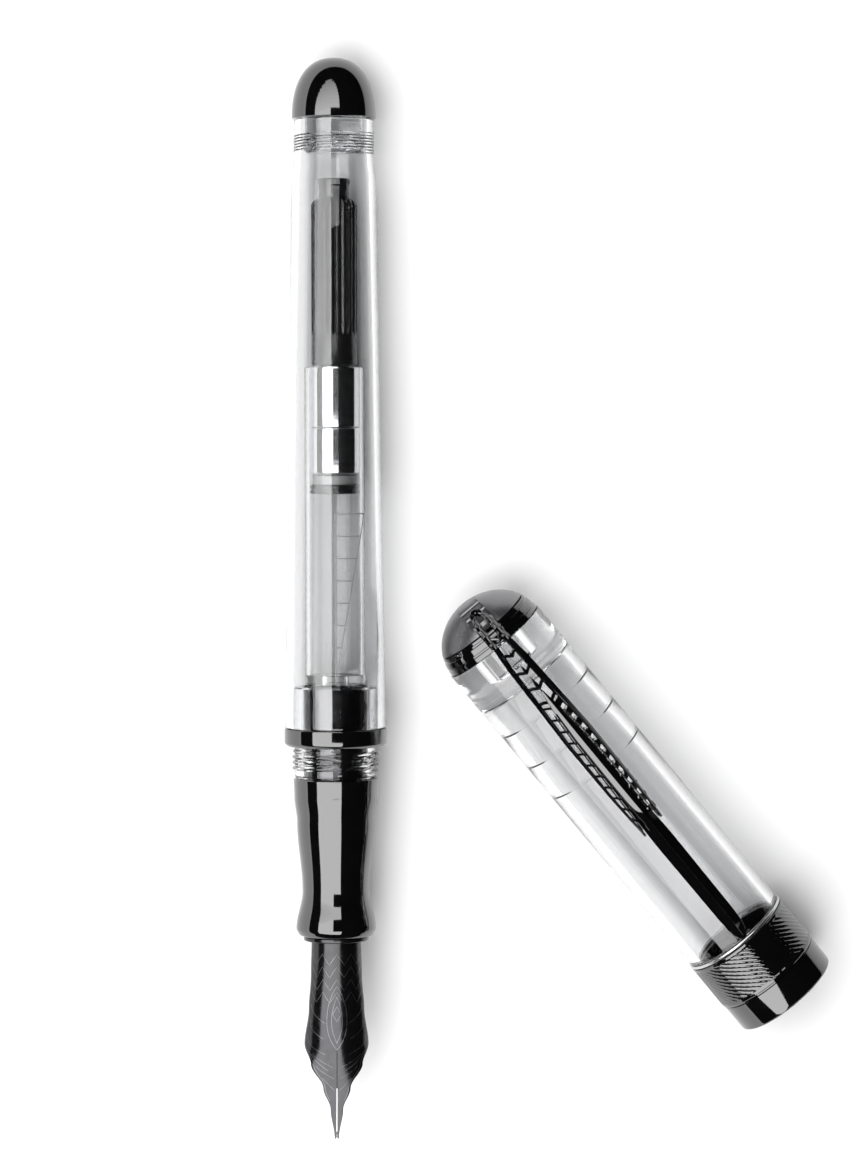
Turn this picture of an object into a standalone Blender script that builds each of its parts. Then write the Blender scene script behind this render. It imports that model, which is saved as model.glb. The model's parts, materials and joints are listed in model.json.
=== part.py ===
"""A screw-cap fountain pen with a clear barrel, lying open beside its cap.

Units are metres and +Z is up. The pen lies along Y with its nib towards -Y, and the cap lies at its
side. Turned pieces are drawn along the Y axis of their own empty:
  pen_axis   Y = 0 at the nib side of the trim ring, +Y towards the end dome
  cap_axis   Y = 0 at the cap's mouth, +Y towards the cap's dome
"""

import math

import bmesh
import bpy
from mathutils import Matrix, Vector

MM = 0.001
GAP = 0.1 * MM
SIDES = 32
FINE_SIDES = 24

# Pen, lengths along its axis
NIB_TIP = -46.65 * MM
SECTION_FRONT = -23.07 * MM
END_RING_LENGTH = 0.55 * MM
GRIP_REAR = -3.8 * MM
TRIM_RING_LENGTH = 2.13 * MM
SOCKET_REAR = 7.2 * MM
BARREL_REAR = 73.9 * MM
PEN_REAR = 81.1 * MM

# Pen, radii
TRIM_RING_RADIUS = 6.08 * MM
END_DOME_RADIUS = 4.97 * MM
COLLAR_CORE_RADIUS = 4.85 * MM
COLLAR_CREST_RADIUS = 5.13 * MM
SOCKET_RADIUS = 3.79 * MM
SOCKET_BORE = 2.5 * MM
GRIP_BORE = 3.35 * MM
COLLAR_PITCH = 0.66 * MM

# Converter, lengths along the pen's axis and radii
CHAMBER_FRONT = 7.4 * MM
CHAMBER_REAR = 44.7 * MM
CHAMBER_RADIUS = 3.55 * MM
CHAMBER_BORE = 3.05 * MM
NOZZLE_FRONT = -1.0 * MM
NOZZLE_RADIUS = 2.35 * MM
SLEEVE_FRONT = 32.25 * MM
SLEEVE_SPLIT = 37.6 * MM
KNOB_FRONT = 44.95 * MM
KNOB_REAR = 64.6 * MM
KNOB_RADIUS = 2.72 * MM
KNOB_FLUTES = 20
STUB_REAR = 66.84 * MM
STUB_RADIUS = 1.95 * MM
ROD_RADIUS = 1.3 * MM
PISTON_FACE = 29.8 * MM

# Nib and feed
NIB_THICKNESS = 0.3 * MM
NIB_ARCH_RADIUS = 3.12 * MM
NIB_TAIL = -12.0 * MM
FEED_REAR = -6.0 * MM
FEED_FRONT = -40.5 * MM
FEED_RADIUS = 2.7 * MM
FEED_FINS = 9

# Cap, lengths from its mouth and radii
BAND_LENGTH = 9.75 * MM
BAND_STEP = 3.9 * MM
BAND_RADIUS = 6.8 * MM
RIM_RADIUS = 6.67 * MM
RIM_BORE = 5.5 * MM
BEAD_RADIUS = 6.83 * MM
BEAD_LENGTH = 0.4 * MM
CAP_TUBE_RADIUS = 6.65 * MM
CAP_END_RADIUS = 6.5 * MM
CAP_BORE = 5.4 * MM
CAP_SPIGOT_RADIUS = 5.9 * MM
CAP_THREAD_CREST = 5.22 * MM
CAP_BORE_END = 50.1 * MM
CAP_GROOVES = (36.8 * MM, 41.55 * MM, 46.3 * MM)
CAP_TUBE_REAR = 55.9 * MM
CLIP_RING_LENGTH = 2.2 * MM
CAP_REAR = 61.6 * MM
CAP_PLUG_FRONT = 52.0 * MM
CAP_PLUG_RADIUS = 2.4 * MM

# Clip
CLIP_THICKNESS = 0.7 * MM
CLIP_TIP = 10.3 * MM
CLIP_HEAD = 60.9 * MM
CLIP_VANES_END = 28.1 * MM
CLIP_WINDOWS = 5
CLIP_PIVOT = (56.3 * MM, 6.2 * MM)
SLOT_HALF_WIDTH = 1.4 * MM

# How the two halves lie
PEN_ROLL = math.radians(-5)
CAP_TURN = math.radians(39.68)
PEN_X = -26.64 * MM
PEN_Y = -17.22 * MM
CAP_MOUTH_X = 27.89 * MM
CAP_MOUTH_Y = -47.87 * MM

# How far the section draws out of the barrel, which is also how far off the swung cap waits
SECTION_PULL = 76.0 * MM


def clear_scene():
    for old in list(bpy.data.objects):
        bpy.data.objects.remove(old, do_unlink=True)


def look(name, colour, roughness, metallic=0.0, clear=0.0):
    """A Principled material."""
    made = bpy.data.materials.new(name)
    made.use_nodes = True
    shader = made.node_tree.nodes["Principled BSDF"]
    shader.inputs["Base Color"].default_value = (*colour, 1.0)
    shader.inputs["Roughness"].default_value = roughness
    shader.inputs["Metallic"].default_value = metallic
    shader.inputs["Transmission Weight"].default_value = clear
    made.diffuse_color = (*colour, 1.0 - 0.6 * clear)
    return made


def empty(name, matrix, parent=None):
    """A named empty at a place given in its parent's axes."""
    made = bpy.data.objects.new(name, None)
    made.empty_display_size = 5 * MM
    made.parent = parent
    made.matrix_local = matrix
    bpy.context.collection.objects.link(made)
    return made


def solid(name, bm, parent, material, origin=(0, 0, 0)):
    """An object from a bmesh drawn in its parent's axes, with its origin moved to a chosen point."""
    bmesh.ops.translate(bm, verts=bm.verts, vec=-Vector(origin))
    bmesh.ops.recalc_face_normals(bm, faces=bm.faces)
    mesh = bpy.data.meshes.new(name)
    bm.to_mesh(mesh)
    bm.free()
    mesh.materials.append(material)
    mesh.shade_smooth()
    mesh.set_sharp_from_angle(angle=math.radians(35))
    made = bpy.data.objects.new(name, mesh)
    made.parent = parent
    made.location = origin
    bpy.context.collection.objects.link(made)
    return made


def turned_bmesh(outline, sides, flutes=0, flute_depth=0.0, fluted=()):
    """A closed outline of (radius, station) points turned round Y. Stations in fluted are grooved."""
    bm = bmesh.new()
    around = 2 * flutes if flutes else sides
    rings = []
    for radius, station in outline:
        if radius == 0:
            rings.append([bm.verts.new((0, station, 0))] * around)
            continue
        ring = []
        for side in range(around):
            angle = 2 * math.pi * side / around
            cut = flute_depth * (side % 2) if station in fluted else 0.0
            reach = radius - cut
            ring.append(bm.verts.new((reach * math.cos(angle), station, reach * math.sin(angle))))
        rings.append(ring)
    for first, second in zip(rings, rings[1:] + rings[:1]):
        for side in range(around):
            after = (side + 1) % around
            corners = [first[side], first[after], second[after], second[side]]
            distinct = list(dict.fromkeys(corners))
            if len(distinct) > 2:
                bm.faces.new(distinct)
    return bm


def turned(name, outline, parent, material, sides=SIDES, **flutes):
    return solid(name, turned_bmesh(outline, sides, **flutes), parent, material)


def tube_outline(outer, bore, start, end, bevel=0.0):
    """A plain tube, with its outer corners cut back by the bevel."""
    if not bevel:
        return [(bore, start), (outer, start), (outer, end), (bore, end)]
    return [
        (bore, start),
        (outer - bevel, start),
        (outer, start + bevel),
        (outer, end - bevel),
        (outer - bevel, end),
        (bore, end),
    ]


def dome_outline(radius, base, top, power, steps):
    """Points of a superellipse from its widest ring at the base to just short of its tip."""
    points = []
    for step in range(steps):
        angle = 0.5 * math.pi * step / steps
        points.append(
            (
                radius * math.cos(angle) ** (2 / power),
                base + (top - base) * math.sin(angle) ** (2 / power),
            )
        )
    return points


def helper(made):
    """Keeps a cutter or a joining shape out of the model."""
    made.hide_render = True
    made.display_type = "WIRE"
    return made


def combine(target, other, operation):
    """Joins or cuts with a helper shape."""
    step = target.modifiers.new(f"{operation.lower()}_{other.name}", "BOOLEAN")
    step.operation = operation
    step.solver = "EXACT"
    step.object = helper(other)


def thread(name, core, crest, start, turns, pitch, parent, material):
    """A helical ridge that stands on a core radius and runs out to nothing at both ends."""
    sides = FINE_SIDES
    bm = bmesh.new()
    sunk = core - math.copysign(0.12 * MM, crest - core)
    steps = round(turns * sides)
    slices = []
    for step in range(steps + 1):
        angle = 2 * math.pi * step / sides
        run_out = min(1.0, 4 * step / sides, 4 * (steps - step) / sides)
        top = core + (crest - core) * (0.1 + 0.9 * run_out)
        middle = start + pitch * step / sides
        points = [(sunk, -0.38), (top, -0.1), (top, 0.1), (sunk, 0.38)]
        slices.append(
            [
                bm.verts.new((r * math.cos(angle), middle + pitch * along, r * math.sin(angle)))
                for r, along in points
            ]
        )
    for first, second in zip(slices, slices[1:]):
        for index in range(4):
            after = (index + 1) % 4
            bm.faces.new([first[index], first[after], second[after], second[index]])
    bm.faces.new(slices[0])
    bm.faces.new(slices[-1])
    return solid(name, bm, parent, material)


def block(name, low, high, parent, material):
    """A box between two corners in its parent's axes."""
    bm = bmesh.new()
    size = Vector(high) - Vector(low)
    middle = (Vector(high) + Vector(low)) / 2
    bmesh.ops.create_cube(bm, size=1, matrix=Matrix.Translation(middle) @ Matrix.Diagonal((*size, 1)))
    return solid(name, bm, parent, material)


def loft(name, rows, parent, material, origin=(0, 0, 0)):
    """A closed solid through rows of points, each row one closed outline."""
    bm = bmesh.new()
    rings = [[bm.verts.new(point) for point in row] for row in rows]
    count = len(rings[0])
    for first, second in zip(rings, rings[1:]):
        for index in range(count):
            after = (index + 1) % count
            bm.faces.new([first[index], first[after], second[after], second[index]])
    bm.faces.new(rings[0])
    bm.faces.new(rings[-1])
    return solid(name, bm, parent, material, origin)


def between(points, at):
    """Smooth interpolation through (place, value) points sorted by place."""
    if at <= points[0][0]:
        return points[0][1]
    for (near, low), (far, high) in zip(points, points[1:]):
        if at <= far:
            share = (at - near) / (far - near)
            share = share * share * (3 - 2 * share)
            return low + (high - low) * share
    return points[-1][1]


# --- how the halves lie ---------------------------------------------------------------------------


def lying(radius_near, at_near, radius_far, at_far):
    """(slope, axis height at Y = 0) of a turned piece that touches the table at two of its rings."""
    slope = math.atan((radius_near - radius_far) / (at_far - at_near))
    height = at_near * math.sin(slope) + radius_near * math.cos(slope)
    return slope, height


def pen_place():
    slope, height = lying(TRIM_RING_RADIUS, TRIM_RING_LENGTH, END_DOME_RADIUS, BARREL_REAR)
    return (
        Matrix.Translation((PEN_X, PEN_Y, height))
        @ Matrix.Rotation(-slope, 4, "X")
        @ Matrix.Rotation(PEN_ROLL, 4, "Y")
    )


def cap_place():
    bead_middle = BAND_LENGTH + GAP + BEAD_LENGTH / 2
    slope, height = lying(BEAD_RADIUS, bead_middle, CAP_TUBE_RADIUS, CAP_TUBE_REAR)
    return (
        Matrix.Translation((CAP_MOUTH_X, CAP_MOUTH_Y, height))
        @ Matrix.Rotation(CAP_TURN, 4, "Z")
        @ Matrix.Rotation(-slope, 4, "X")
    )


def cap_in_line(roll):
    """Where the cap waits ahead of the nib, on the pen's axis, turned by a roll about it."""
    return (
        pen_place()
        @ Matrix.Translation((0, -SECTION_PULL - GAP, 0))
        @ Matrix.Rotation(math.pi, 4, "Z")
        @ Matrix.Rotation(roll - PEN_ROLL, 4, "Y")
    )


def swing(roll):
    """(axis, lift along it, the whole move) of the turn that takes the cap from rest into line."""
    move = cap_in_line(roll) @ cap_place().inverted()
    axis, _ = move.to_quaternion().to_axis_angle()
    if axis.z > 0:
        axis = -axis
    return axis, move.translation.dot(axis), move


def swing_without_lift():
    """The roll at which one plain hinge brings the cap into line, found by halving an interval."""
    low, high = math.radians(-30), math.radians(30)
    low_lift = swing(low)[1]
    for _ in range(60):
        roll = (low + high) / 2
        lift = swing(roll)[1]
        if (lift > 0) == (low_lift > 0):
            low, low_lift = roll, lift
        else:
            high = roll
    return roll


def swing_hinge():
    """An upright hinge as a matrix: its origin is level with the cap's mouth, and Z is its axis."""
    axis, _, move = swing(swing_without_lift())
    turn = move.to_3x3()
    side = axis.orthogonal().normalized()
    across = axis.cross(side)
    basis = Matrix((side, across, axis)).transposed()
    # In the plane across the axis, the hinge is the point that the move leaves in place.
    flat = basis.transposed() @ turn @ basis
    shift = basis.transposed() @ move.translation
    a, b = 1 - flat[0][0], -flat[0][1]
    c, d = -flat[1][0], 1 - flat[1][1]
    determinant = a * d - b * c
    still = Vector(
        ((d * shift[0] - b * shift[1]) / determinant, (a * shift[1] - c * shift[0]) / determinant, 0)
    )
    point = basis @ still
    point += axis * (cap_place().translation - point).dot(axis)
    return Matrix.Translation(point) @ basis.to_4x4()


# --- pen pieces -----------------------------------------------------------------------------------


def make_barrel(pen, clear):
    outer = [
        (6.03, 2.23),
        (5.92, 8.87),
        (5.63, 24.84),
        (5.35, 44.36),
        (5.2, 55.0),
        (5.09, 65.66),
        (4.76, 69.2),
        (4.72, 73.75),
    ]
    inner = [(3.95, 73.75), (3.95, 68.6), (4.15, 66.8), (4.6, 44.36), (5.05, 8.87), (5.08, 2.23)]
    outline = [(radius * MM, station * MM) for radius, station in outer + inner]
    turned("barrel_tube", outline, pen, clear)


def make_end_dome(plug_axis, dome_axis, black, clear):
    shell = dome_outline(END_DOME_RADIUS, BARREL_REAR + 0.04 * MM, PEN_REAR, 2.3, 8)
    bore = 3.5 * MM
    floor = 77.2 * MM
    outline = shell + [(0, PEN_REAR), (0, floor), (bore, floor), (bore, shell[0][1])]
    turned("end_dome", outline, dome_axis, black)
    front = 69.8 * MM
    core = 3.5 * MM
    neck = 3.4 * MM
    outline = [
        (0, front),
        (core - 0.3 * MM, front),
        (core, front + 0.3 * MM),
        (core, 72.1 * MM),
        (neck, 72.1 * MM),
        (neck, floor - GAP),
        (0, floor - GAP),
    ]
    plug = turned("end_dome_plug", outline, plug_axis, clear, FINE_SIDES)
    ridge = thread("plug_thread_shape", core, 3.78 * MM, front + 0.3 * MM, 2.6, 0.68 * MM, plug_axis, clear)
    combine(plug, ridge, "UNION")


def make_section(pen, black, clear, metal):
    rounding = 0.35 * MM
    bore = 4.7 * MM
    turned(
        "trim_ring",
        [
            (bore, 0),
            (TRIM_RING_RADIUS - rounding, 0),
            (TRIM_RING_RADIUS - 0.3 * rounding, 0.3 * rounding),
            (TRIM_RING_RADIUS, rounding),
            (TRIM_RING_RADIUS, TRIM_RING_LENGTH),
            (bore, TRIM_RING_LENGTH),
        ],
        pen,
        black,
    )
    inside = SOCKET_RADIUS + GAP
    spigot = 4.95 * MM
    under_ring = bore - GAP
    collar = turned(
        "thread_collar",
        [
            (inside, GRIP_REAR + GAP),
            (COLLAR_CORE_RADIUS - 0.15 * MM, GRIP_REAR + GAP),
            (COLLAR_CORE_RADIUS, GRIP_REAR + 0.25 * MM),
            (COLLAR_CORE_RADIUS, -GAP),
            (under_ring, -GAP),
            (under_ring, TRIM_RING_LENGTH + GAP),
            (spigot, TRIM_RING_LENGTH + GAP),
            (spigot, SOCKET_REAR - 0.3 * MM),
            (spigot - 0.2 * MM, SOCKET_REAR - GAP),
            (inside, SOCKET_REAR - GAP),
        ],
        pen,
        clear,
        FINE_SIDES,
    )
    ridge = thread(
        "collar_thread_shape",
        COLLAR_CORE_RADIUS,
        COLLAR_CREST_RADIUS,
        GRIP_REAR + 0.9 * MM,
        3.6,
        COLLAR_PITCH,
        pen,
        clear,
    )
    combine(collar, ridge, "UNION")
    turned(
        "converter_socket",
        tube_outline(SOCKET_RADIUS, SOCKET_BORE, GRIP_REAR + GAP, SOCKET_REAR, 0.12 * MM),
        pen,
        metal,
        FINE_SIDES,
    )


def grip_radius(station):
    """The grip's waisted outline: widest behind, a waist two thirds along, then a flared lip."""
    return between(
        [
            (-22.4 * MM, 4.45 * MM),
            (-21.65 * MM, 4.75 * MM),
            (-17.2 * MM, 3.98 * MM),
            (-9.0 * MM, 4.62 * MM),
            (-6.0 * MM, 4.93 * MM),
            (GRIP_REAR, 5.0 * MM),
        ],
        station,
    )


def make_grip(pen, black, metal):
    front = SECTION_FRONT + END_RING_LENGTH + 0.05 * MM
    rows = 14
    stations = [front + 0.15 * MM + (GRIP_REAR - front - 0.15 * MM) * row / rows for row in range(rows + 1)]
    shell = [(4.3 * MM, front)] + [(grip_radius(station), station) for station in stations]
    turned("grip", [(GRIP_BORE, front)] + shell + [(GRIP_BORE, GRIP_REAR)], pen, black)
    turned(
        "grip_end_ring",
        tube_outline(3.86 * MM, GRIP_BORE, SECTION_FRONT, SECTION_FRONT + END_RING_LENGTH, 0.12 * MM),
        pen,
        metal,
        FINE_SIDES,
    )


# --- nib unit -------------------------------------------------------------------------------------


def nib_half_width(station):
    """Half the nib's width: a slow swell to the wings, then concave shoulders down to the point."""
    return between(
        [
            (NIB_TIP, 0.26 * MM),
            (-43.0 * MM, 0.75 * MM),
            (-40.4 * MM, 1.62 * MM),
            (-37.6 * MM, 3.1 * MM),
            (-35.4 * MM, 3.86 * MM),
            (-31.0 * MM, 3.33 * MM),
            (-27.0 * MM, 3.07 * MM),
            (SECTION_FRONT, 2.98 * MM),
            (NIB_TAIL, 2.9 * MM),
        ],
        station,
    )


def nib_arch(station):
    """(radius of the nib's arch, height of its crown above the pen's axis)."""
    opening = between([(NIB_TIP, 9.0), (-35.4 * MM, 1.42), (-24.0 * MM, 1.0)], station)
    crown = between([(NIB_TIP, 0.9 * MM), (-40.0 * MM, 2.3 * MM), (-30.0 * MM, 3.12 * MM)], station)
    return NIB_ARCH_RADIUS * opening, crown


def nib_row(station):
    """One closed row of points round the nib's thickness."""
    radius, crown = nib_arch(station)
    reach = nib_half_width(station)
    columns = 8
    top = []
    under = []
    for column in range(columns + 1):
        angle = (2 * column / columns - 1) * math.asin(min(0.999, reach / radius))
        inner = radius - NIB_THICKNESS
        top.append((radius * math.sin(angle), station, crown - radius + radius * math.cos(angle)))
        under.append((inner * math.sin(angle), station, crown - radius + inner * math.cos(angle)))
    return top + under[::-1]


def make_nib(unit, dark, black, steel):
    rows = 22
    stations = [NIB_TIP + (NIB_TAIL - NIB_TIP) * (row / rows) ** 1.15 for row in range(rows + 1)]
    nib = loft("nib", [nib_row(station) for station in stations], unit, dark)
    slit = 0.12 * MM
    cutter = block(
        "slit_shape", (-slit / 2, NIB_TIP - MM, -MM), (slit / 2, -35.5 * MM, 5 * MM), unit, dark
    )
    combine(nib, cutter, "DIFFERENCE")
    make_tipping(unit, steel)
    make_feed(unit, black)


def make_tipping(unit, steel):
    """The hard ball under the nib's point."""
    bm = bmesh.new()
    radius = 0.3 * MM
    _, crown = nib_arch(NIB_TIP)
    place = Matrix.Translation((0, NIB_TIP + radius, crown - NIB_THICKNESS - radius - 0.03 * MM))
    bmesh.ops.create_uvsphere(bm, u_segments=12, v_segments=8, radius=radius, matrix=place)
    solid("nib_tipping", bm, unit, steel)


def feed_row(station):
    """One row of the feed: a round stem that flattens and thins under the nib."""
    radius = between([(FEED_FRONT, 0.75 * MM), (-33.0 * MM, 2.1 * MM), (-24.0 * MM, FEED_RADIUS)], station)
    _, crown = nib_arch(station)
    roof = min(crown - NIB_THICKNESS - 0.12 * MM, FEED_RADIUS)
    drop = between([(FEED_FRONT, 0.6 * MM), (-33.0 * MM, 3.6 * MM), (-24.0 * MM, 2 * FEED_RADIUS)], station)
    points = []
    count = 16
    for index in range(count):
        angle = 2 * math.pi * index / count
        height = roof - drop / 2 + drop / 2 * math.sin(angle)
        points.append((radius * math.cos(angle), station, height))
    return points


def make_feed(unit, black):
    rows = 14
    stations = [FEED_FRONT + (FEED_REAR - FEED_FRONT) * row / rows for row in range(rows + 1)]
    feed = loft("feed", [feed_row(station) for station in stations], unit, black)
    slot = 0.45 * MM
    step = 1.0 * MM
    for fin in range(FEED_FINS):
        station = -25.0 * MM - fin * step
        depth = -1.55 * MM + 0.22 * MM * fin
        cutter = block(
            f"fin_shape_{fin}",
            (-4 * MM, station - slot / 2, -5 * MM),
            (4 * MM, station + slot / 2, depth),
            unit,
            black,
        )
        combine(feed, cutter, "DIFFERENCE")


# --- converter ------------------------------------------------------------------------------------


def make_converter(converter, clear, chrome):
    wall = 1.0 * MM
    nozzle_bore = 1.2 * MM
    turned(
        "converter_tube",
        [
            (nozzle_bore, NOZZLE_FRONT),
            (NOZZLE_RADIUS - 0.1 * MM, NOZZLE_FRONT),
            (NOZZLE_RADIUS, NOZZLE_FRONT + 0.6 * MM),
            (NOZZLE_RADIUS, CHAMBER_FRONT),
            (CHAMBER_RADIUS, CHAMBER_FRONT),
            (CHAMBER_RADIUS, CHAMBER_REAR),
            (CHAMBER_BORE, CHAMBER_REAR),
            (CHAMBER_BORE, CHAMBER_FRONT + wall),
            (nozzle_bore, CHAMBER_FRONT + wall),
        ],
        converter,
        clear,
        FINE_SIDES,
    )
    rear_bore = 2.4 * MM
    front_bore = 1.5 * MM
    turned(
        "converter_sleeve_front",
        tube_outline(2.95 * MM, front_bore, SLEEVE_FRONT, SLEEVE_SPLIT - 0.05 * MM, 0.1 * MM),
        converter,
        chrome,
        FINE_SIDES,
    )
    turned(
        "converter_sleeve_rear",
        tube_outline(2.9 * MM, rear_bore, SLEEVE_SPLIT + 0.05 * MM, CHAMBER_REAR, 0.1 * MM),
        converter,
        chrome,
        FINE_SIDES,
    )


def make_knob(axis, black, chrome):
    bore = 1.6 * MM
    flute_end = 48.5 * MM
    chamfer = 0.8 * MM
    turned(
        "converter_knob",
        [
            (bore, KNOB_FRONT),
            (KNOB_RADIUS, KNOB_FRONT),
            (KNOB_RADIUS, flute_end - 0.2 * MM),
            (KNOB_RADIUS, flute_end),
            (KNOB_RADIUS, KNOB_REAR - chamfer),
            (KNOB_RADIUS - chamfer, KNOB_REAR),
            (bore, KNOB_REAR),
        ],
        axis,
        black,
        flutes=KNOB_FLUTES,
        flute_depth=0.16 * MM,
        fluted=(flute_end, KNOB_REAR - chamfer),
    )
    spigot = bore - GAP
    turned(
        "converter_knob_cap",
        [
            (0, KNOB_REAR - 2 * MM),
            (spigot, KNOB_REAR - 2 * MM),
            (spigot, KNOB_REAR + GAP),
            (STUB_RADIUS, KNOB_REAR + GAP),
            (STUB_RADIUS, STUB_REAR - 0.15 * MM),
            (STUB_RADIUS - 0.15 * MM, STUB_REAR),
            (0, STUB_REAR),
        ],
        axis,
        black,
        FINE_SIDES,
    )
    turned(
        "converter_drive_nut",
        tube_outline(2.3 * MM, ROD_RADIUS + GAP, SLEEVE_SPLIT + 0.9 * MM, CHAMBER_REAR + 0.15 * MM, 0.1 * MM),
        axis,
        chrome,
        FINE_SIDES,
    )


def make_piston(axis, white, black):
    rod_end = 62.2 * MM
    neck = 30.9 * MM
    head_rear = 32.0 * MM
    rod_front = head_rear + 0.05 * MM
    turned(
        "piston_rod",
        [(0, rod_front), (ROD_RADIUS, rod_front), (ROD_RADIUS, rod_end), (0, rod_end)],
        axis,
        white,
        16,
    )
    turned(
        "piston_head",
        [
            (0, PISTON_FACE + 0.4 * MM),
            (1.2 * MM, PISTON_FACE + 0.4 * MM),
            (1.2 * MM, neck),
            (2.6 * MM, neck),
            (2.6 * MM, head_rear - 0.05 * MM),
            (0, head_rear - 0.05 * MM),
        ],
        axis,
        white,
        FINE_SIDES,
    )
    turned(
        "piston_seal",
        [
            (1.3 * MM, PISTON_FACE),
            (2.75 * MM, PISTON_FACE),
            (2.95 * MM, PISTON_FACE + 0.2 * MM),
            (2.95 * MM, neck - 0.25 * MM),
            (2.75 * MM, neck - 0.05 * MM),
            (1.3 * MM, neck - 0.05 * MM),
        ],
        axis,
        black,
        FINE_SIDES,
    )


# --- cap ------------------------------------------------------------------------------------------


def make_cap_bead(axis, metal):
    start = BAND_LENGTH + GAP
    bead = BEAD_LENGTH
    turned(
        "cap_bead_ring",
        [
            (CAP_SPIGOT_RADIUS + GAP, start),
            (BEAD_RADIUS - 0.12 * MM, start),
            (BEAD_RADIUS, start + bead / 2),
            (BEAD_RADIUS - 0.12 * MM, start + bead),
            (CAP_SPIGOT_RADIUS + GAP, start + bead),
        ],
        axis,
        metal,
    )


def make_cap_tube(axis, clear):
    """The cap's clear body: a deep bore with three ring grooves, closed by a thick end."""
    mouth = 0.6 * MM
    shoulder = BAND_LENGTH + BEAD_LENGTH + 2 * GAP
    rear = CAP_TUBE_REAR - GAP
    hole = CAP_PLUG_RADIUS + GAP
    outline = [
        (CAP_BORE, mouth),
        (CAP_SPIGOT_RADIUS, mouth),
        (CAP_SPIGOT_RADIUS, shoulder),
        (CAP_TUBE_RADIUS, shoulder),
        (CAP_TUBE_RADIUS, rear),
        (hole, rear),
        (hole, CAP_PLUG_FRONT - GAP),
        (0, CAP_PLUG_FRONT - GAP),
        (0, CAP_BORE_END),
        (CAP_BORE, CAP_BORE_END),
    ]
    groove = 0.12 * MM
    for middle in reversed(CAP_GROOVES):
        outline += [
            (CAP_BORE, middle + groove),
            (CAP_BORE + groove, middle),
            (CAP_BORE, middle - groove),
        ]
    tube = turned("cap_tube", outline, axis, clear)
    start = mouth + 0.5 * MM
    ridge = thread("cap_thread_shape", CAP_BORE, CAP_THREAD_CREST, start, 3, COLLAR_PITCH, axis, clear)
    combine(tube, ridge, "UNION")


def make_cap_band(axis, black):
    """The band is a ring with a raised upper part, a groove under it and a rounded lip at the mouth."""
    inside = CAP_SPIGOT_RADIUS + GAP
    lip = 0.5 * MM
    turned(
        "cap_band",
        [
            (RIM_BORE, 0),
            (RIM_RADIUS - 0.2 * MM, 0),
            (RIM_RADIUS, 0.25 * MM),
            (RIM_RADIUS, BAND_STEP - 0.1 * MM),
            (BAND_RADIUS, BAND_STEP),
            (BAND_RADIUS, BAND_LENGTH),
            (inside, BAND_LENGTH),
            (inside, lip),
            (RIM_BORE, lip),
        ],
        axis,
        black,
    )


def dome_radius(station):
    """Outer radius of the cap's rounded end, from the tube's end to its tip."""
    share = (station - CAP_TUBE_REAR) / (CAP_REAR - CAP_TUBE_REAR)
    return CAP_END_RADIUS * math.sqrt(max(0.0, 1 - share * share))


def clip_top(station):
    """Height of the clip's outer face above the cap's axis, from its tip over the dome to its head."""
    return between(
        [
            (CLIP_TIP, 7.45 * MM),
            (CLIP_TIP + 5.0 * MM, 7.7 * MM),
            (CAP_TUBE_REAR - 9.0 * MM, 8.05 * MM),
            (CAP_TUBE_REAR, 7.5 * MM),
            (CAP_TUBE_REAR + 1.5 * MM, 6.75 * MM),
            (CAP_TUBE_REAR + 3.0 * MM, 5.75 * MM),
            (CAP_TUBE_REAR + 4.2 * MM, 4.5 * MM),
            (CLIP_HEAD, 3.3 * MM),
        ],
        station,
    )


def clip_half_width(station):
    """Half the clip's width: a slim point, a plain spine, wide vanes and a narrower head."""
    return between(
        [
            (CLIP_TIP, 0.35 * MM),
            (CLIP_TIP + 2.0 * MM, 0.95 * MM),
            (CLIP_VANES_END - 0.4 * MM, 1.02 * MM),
            (CLIP_VANES_END, 1.75 * MM),
            (40.0 * MM, 1.95 * MM),
            (CAP_TUBE_REAR, 1.3 * MM),
            (CLIP_HEAD, 1.2 * MM),
        ],
        station,
    )


def make_clip(axis, black):
    pivot = (0, *CLIP_PIVOT)
    flat = [CLIP_TIP + (CAP_TUBE_REAR - CLIP_TIP) * row / 22 for row in range(23)]
    flat += [CLIP_VANES_END - 0.4 * MM, CLIP_VANES_END]
    head = [CAP_TUBE_REAR + (CLIP_HEAD - CAP_TUBE_REAR) * row / 6 for row in range(1, 7)]
    rows = []
    for station in sorted(flat + head):
        half, top = clip_half_width(station), clip_top(station)
        crown = top - 0.12 * MM
        under = top - CLIP_THICKNESS
        rows.append(
            [
                (-half, station, crown),
                (-0.5 * half, station, top),
                (0.5 * half, station, top),
                (half, station, crown),
                (half, station, under),
                (-half, station, under),
            ]
        )
    clip = loft("clip", rows, axis, black, pivot)
    cell = 4.2 * MM
    for window in range(CLIP_WINDOWS):
        start = CLIP_VANES_END + 2.2 * MM + window * (cell + 0.75 * MM)
        cutter = block(
            f"window_shape_{window}",
            (-0.95 * MM, start, 5 * MM),
            (0.95 * MM, start + cell, 9 * MM),
            axis,
            black,
        )
        combine(clip, cutter, "DIFFERENCE")


def slot_shape(name, axis, material):
    """The channel for the clip's head, as a block whose floor follows the clip's underside."""
    room = 0.5 * MM
    rows = []
    steps = 8
    for step in range(steps + 1):
        station = CAP_TUBE_REAR - MM + (CAP_REAR + MM - CAP_TUBE_REAR) * step / steps
        floor = clip_top(min(max(station, CAP_TUBE_REAR + 0.01 * MM), CLIP_HEAD)) - CLIP_THICKNESS - room
        rows.append(
            [
                (-SLOT_HALF_WIDTH, station, floor),
                (-SLOT_HALF_WIDTH, station, 9 * MM),
                (SLOT_HALF_WIDTH, station, 9 * MM),
                (SLOT_HALF_WIDTH, station, floor),
            ]
        )
    return loft(name, rows, axis, material)


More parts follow.
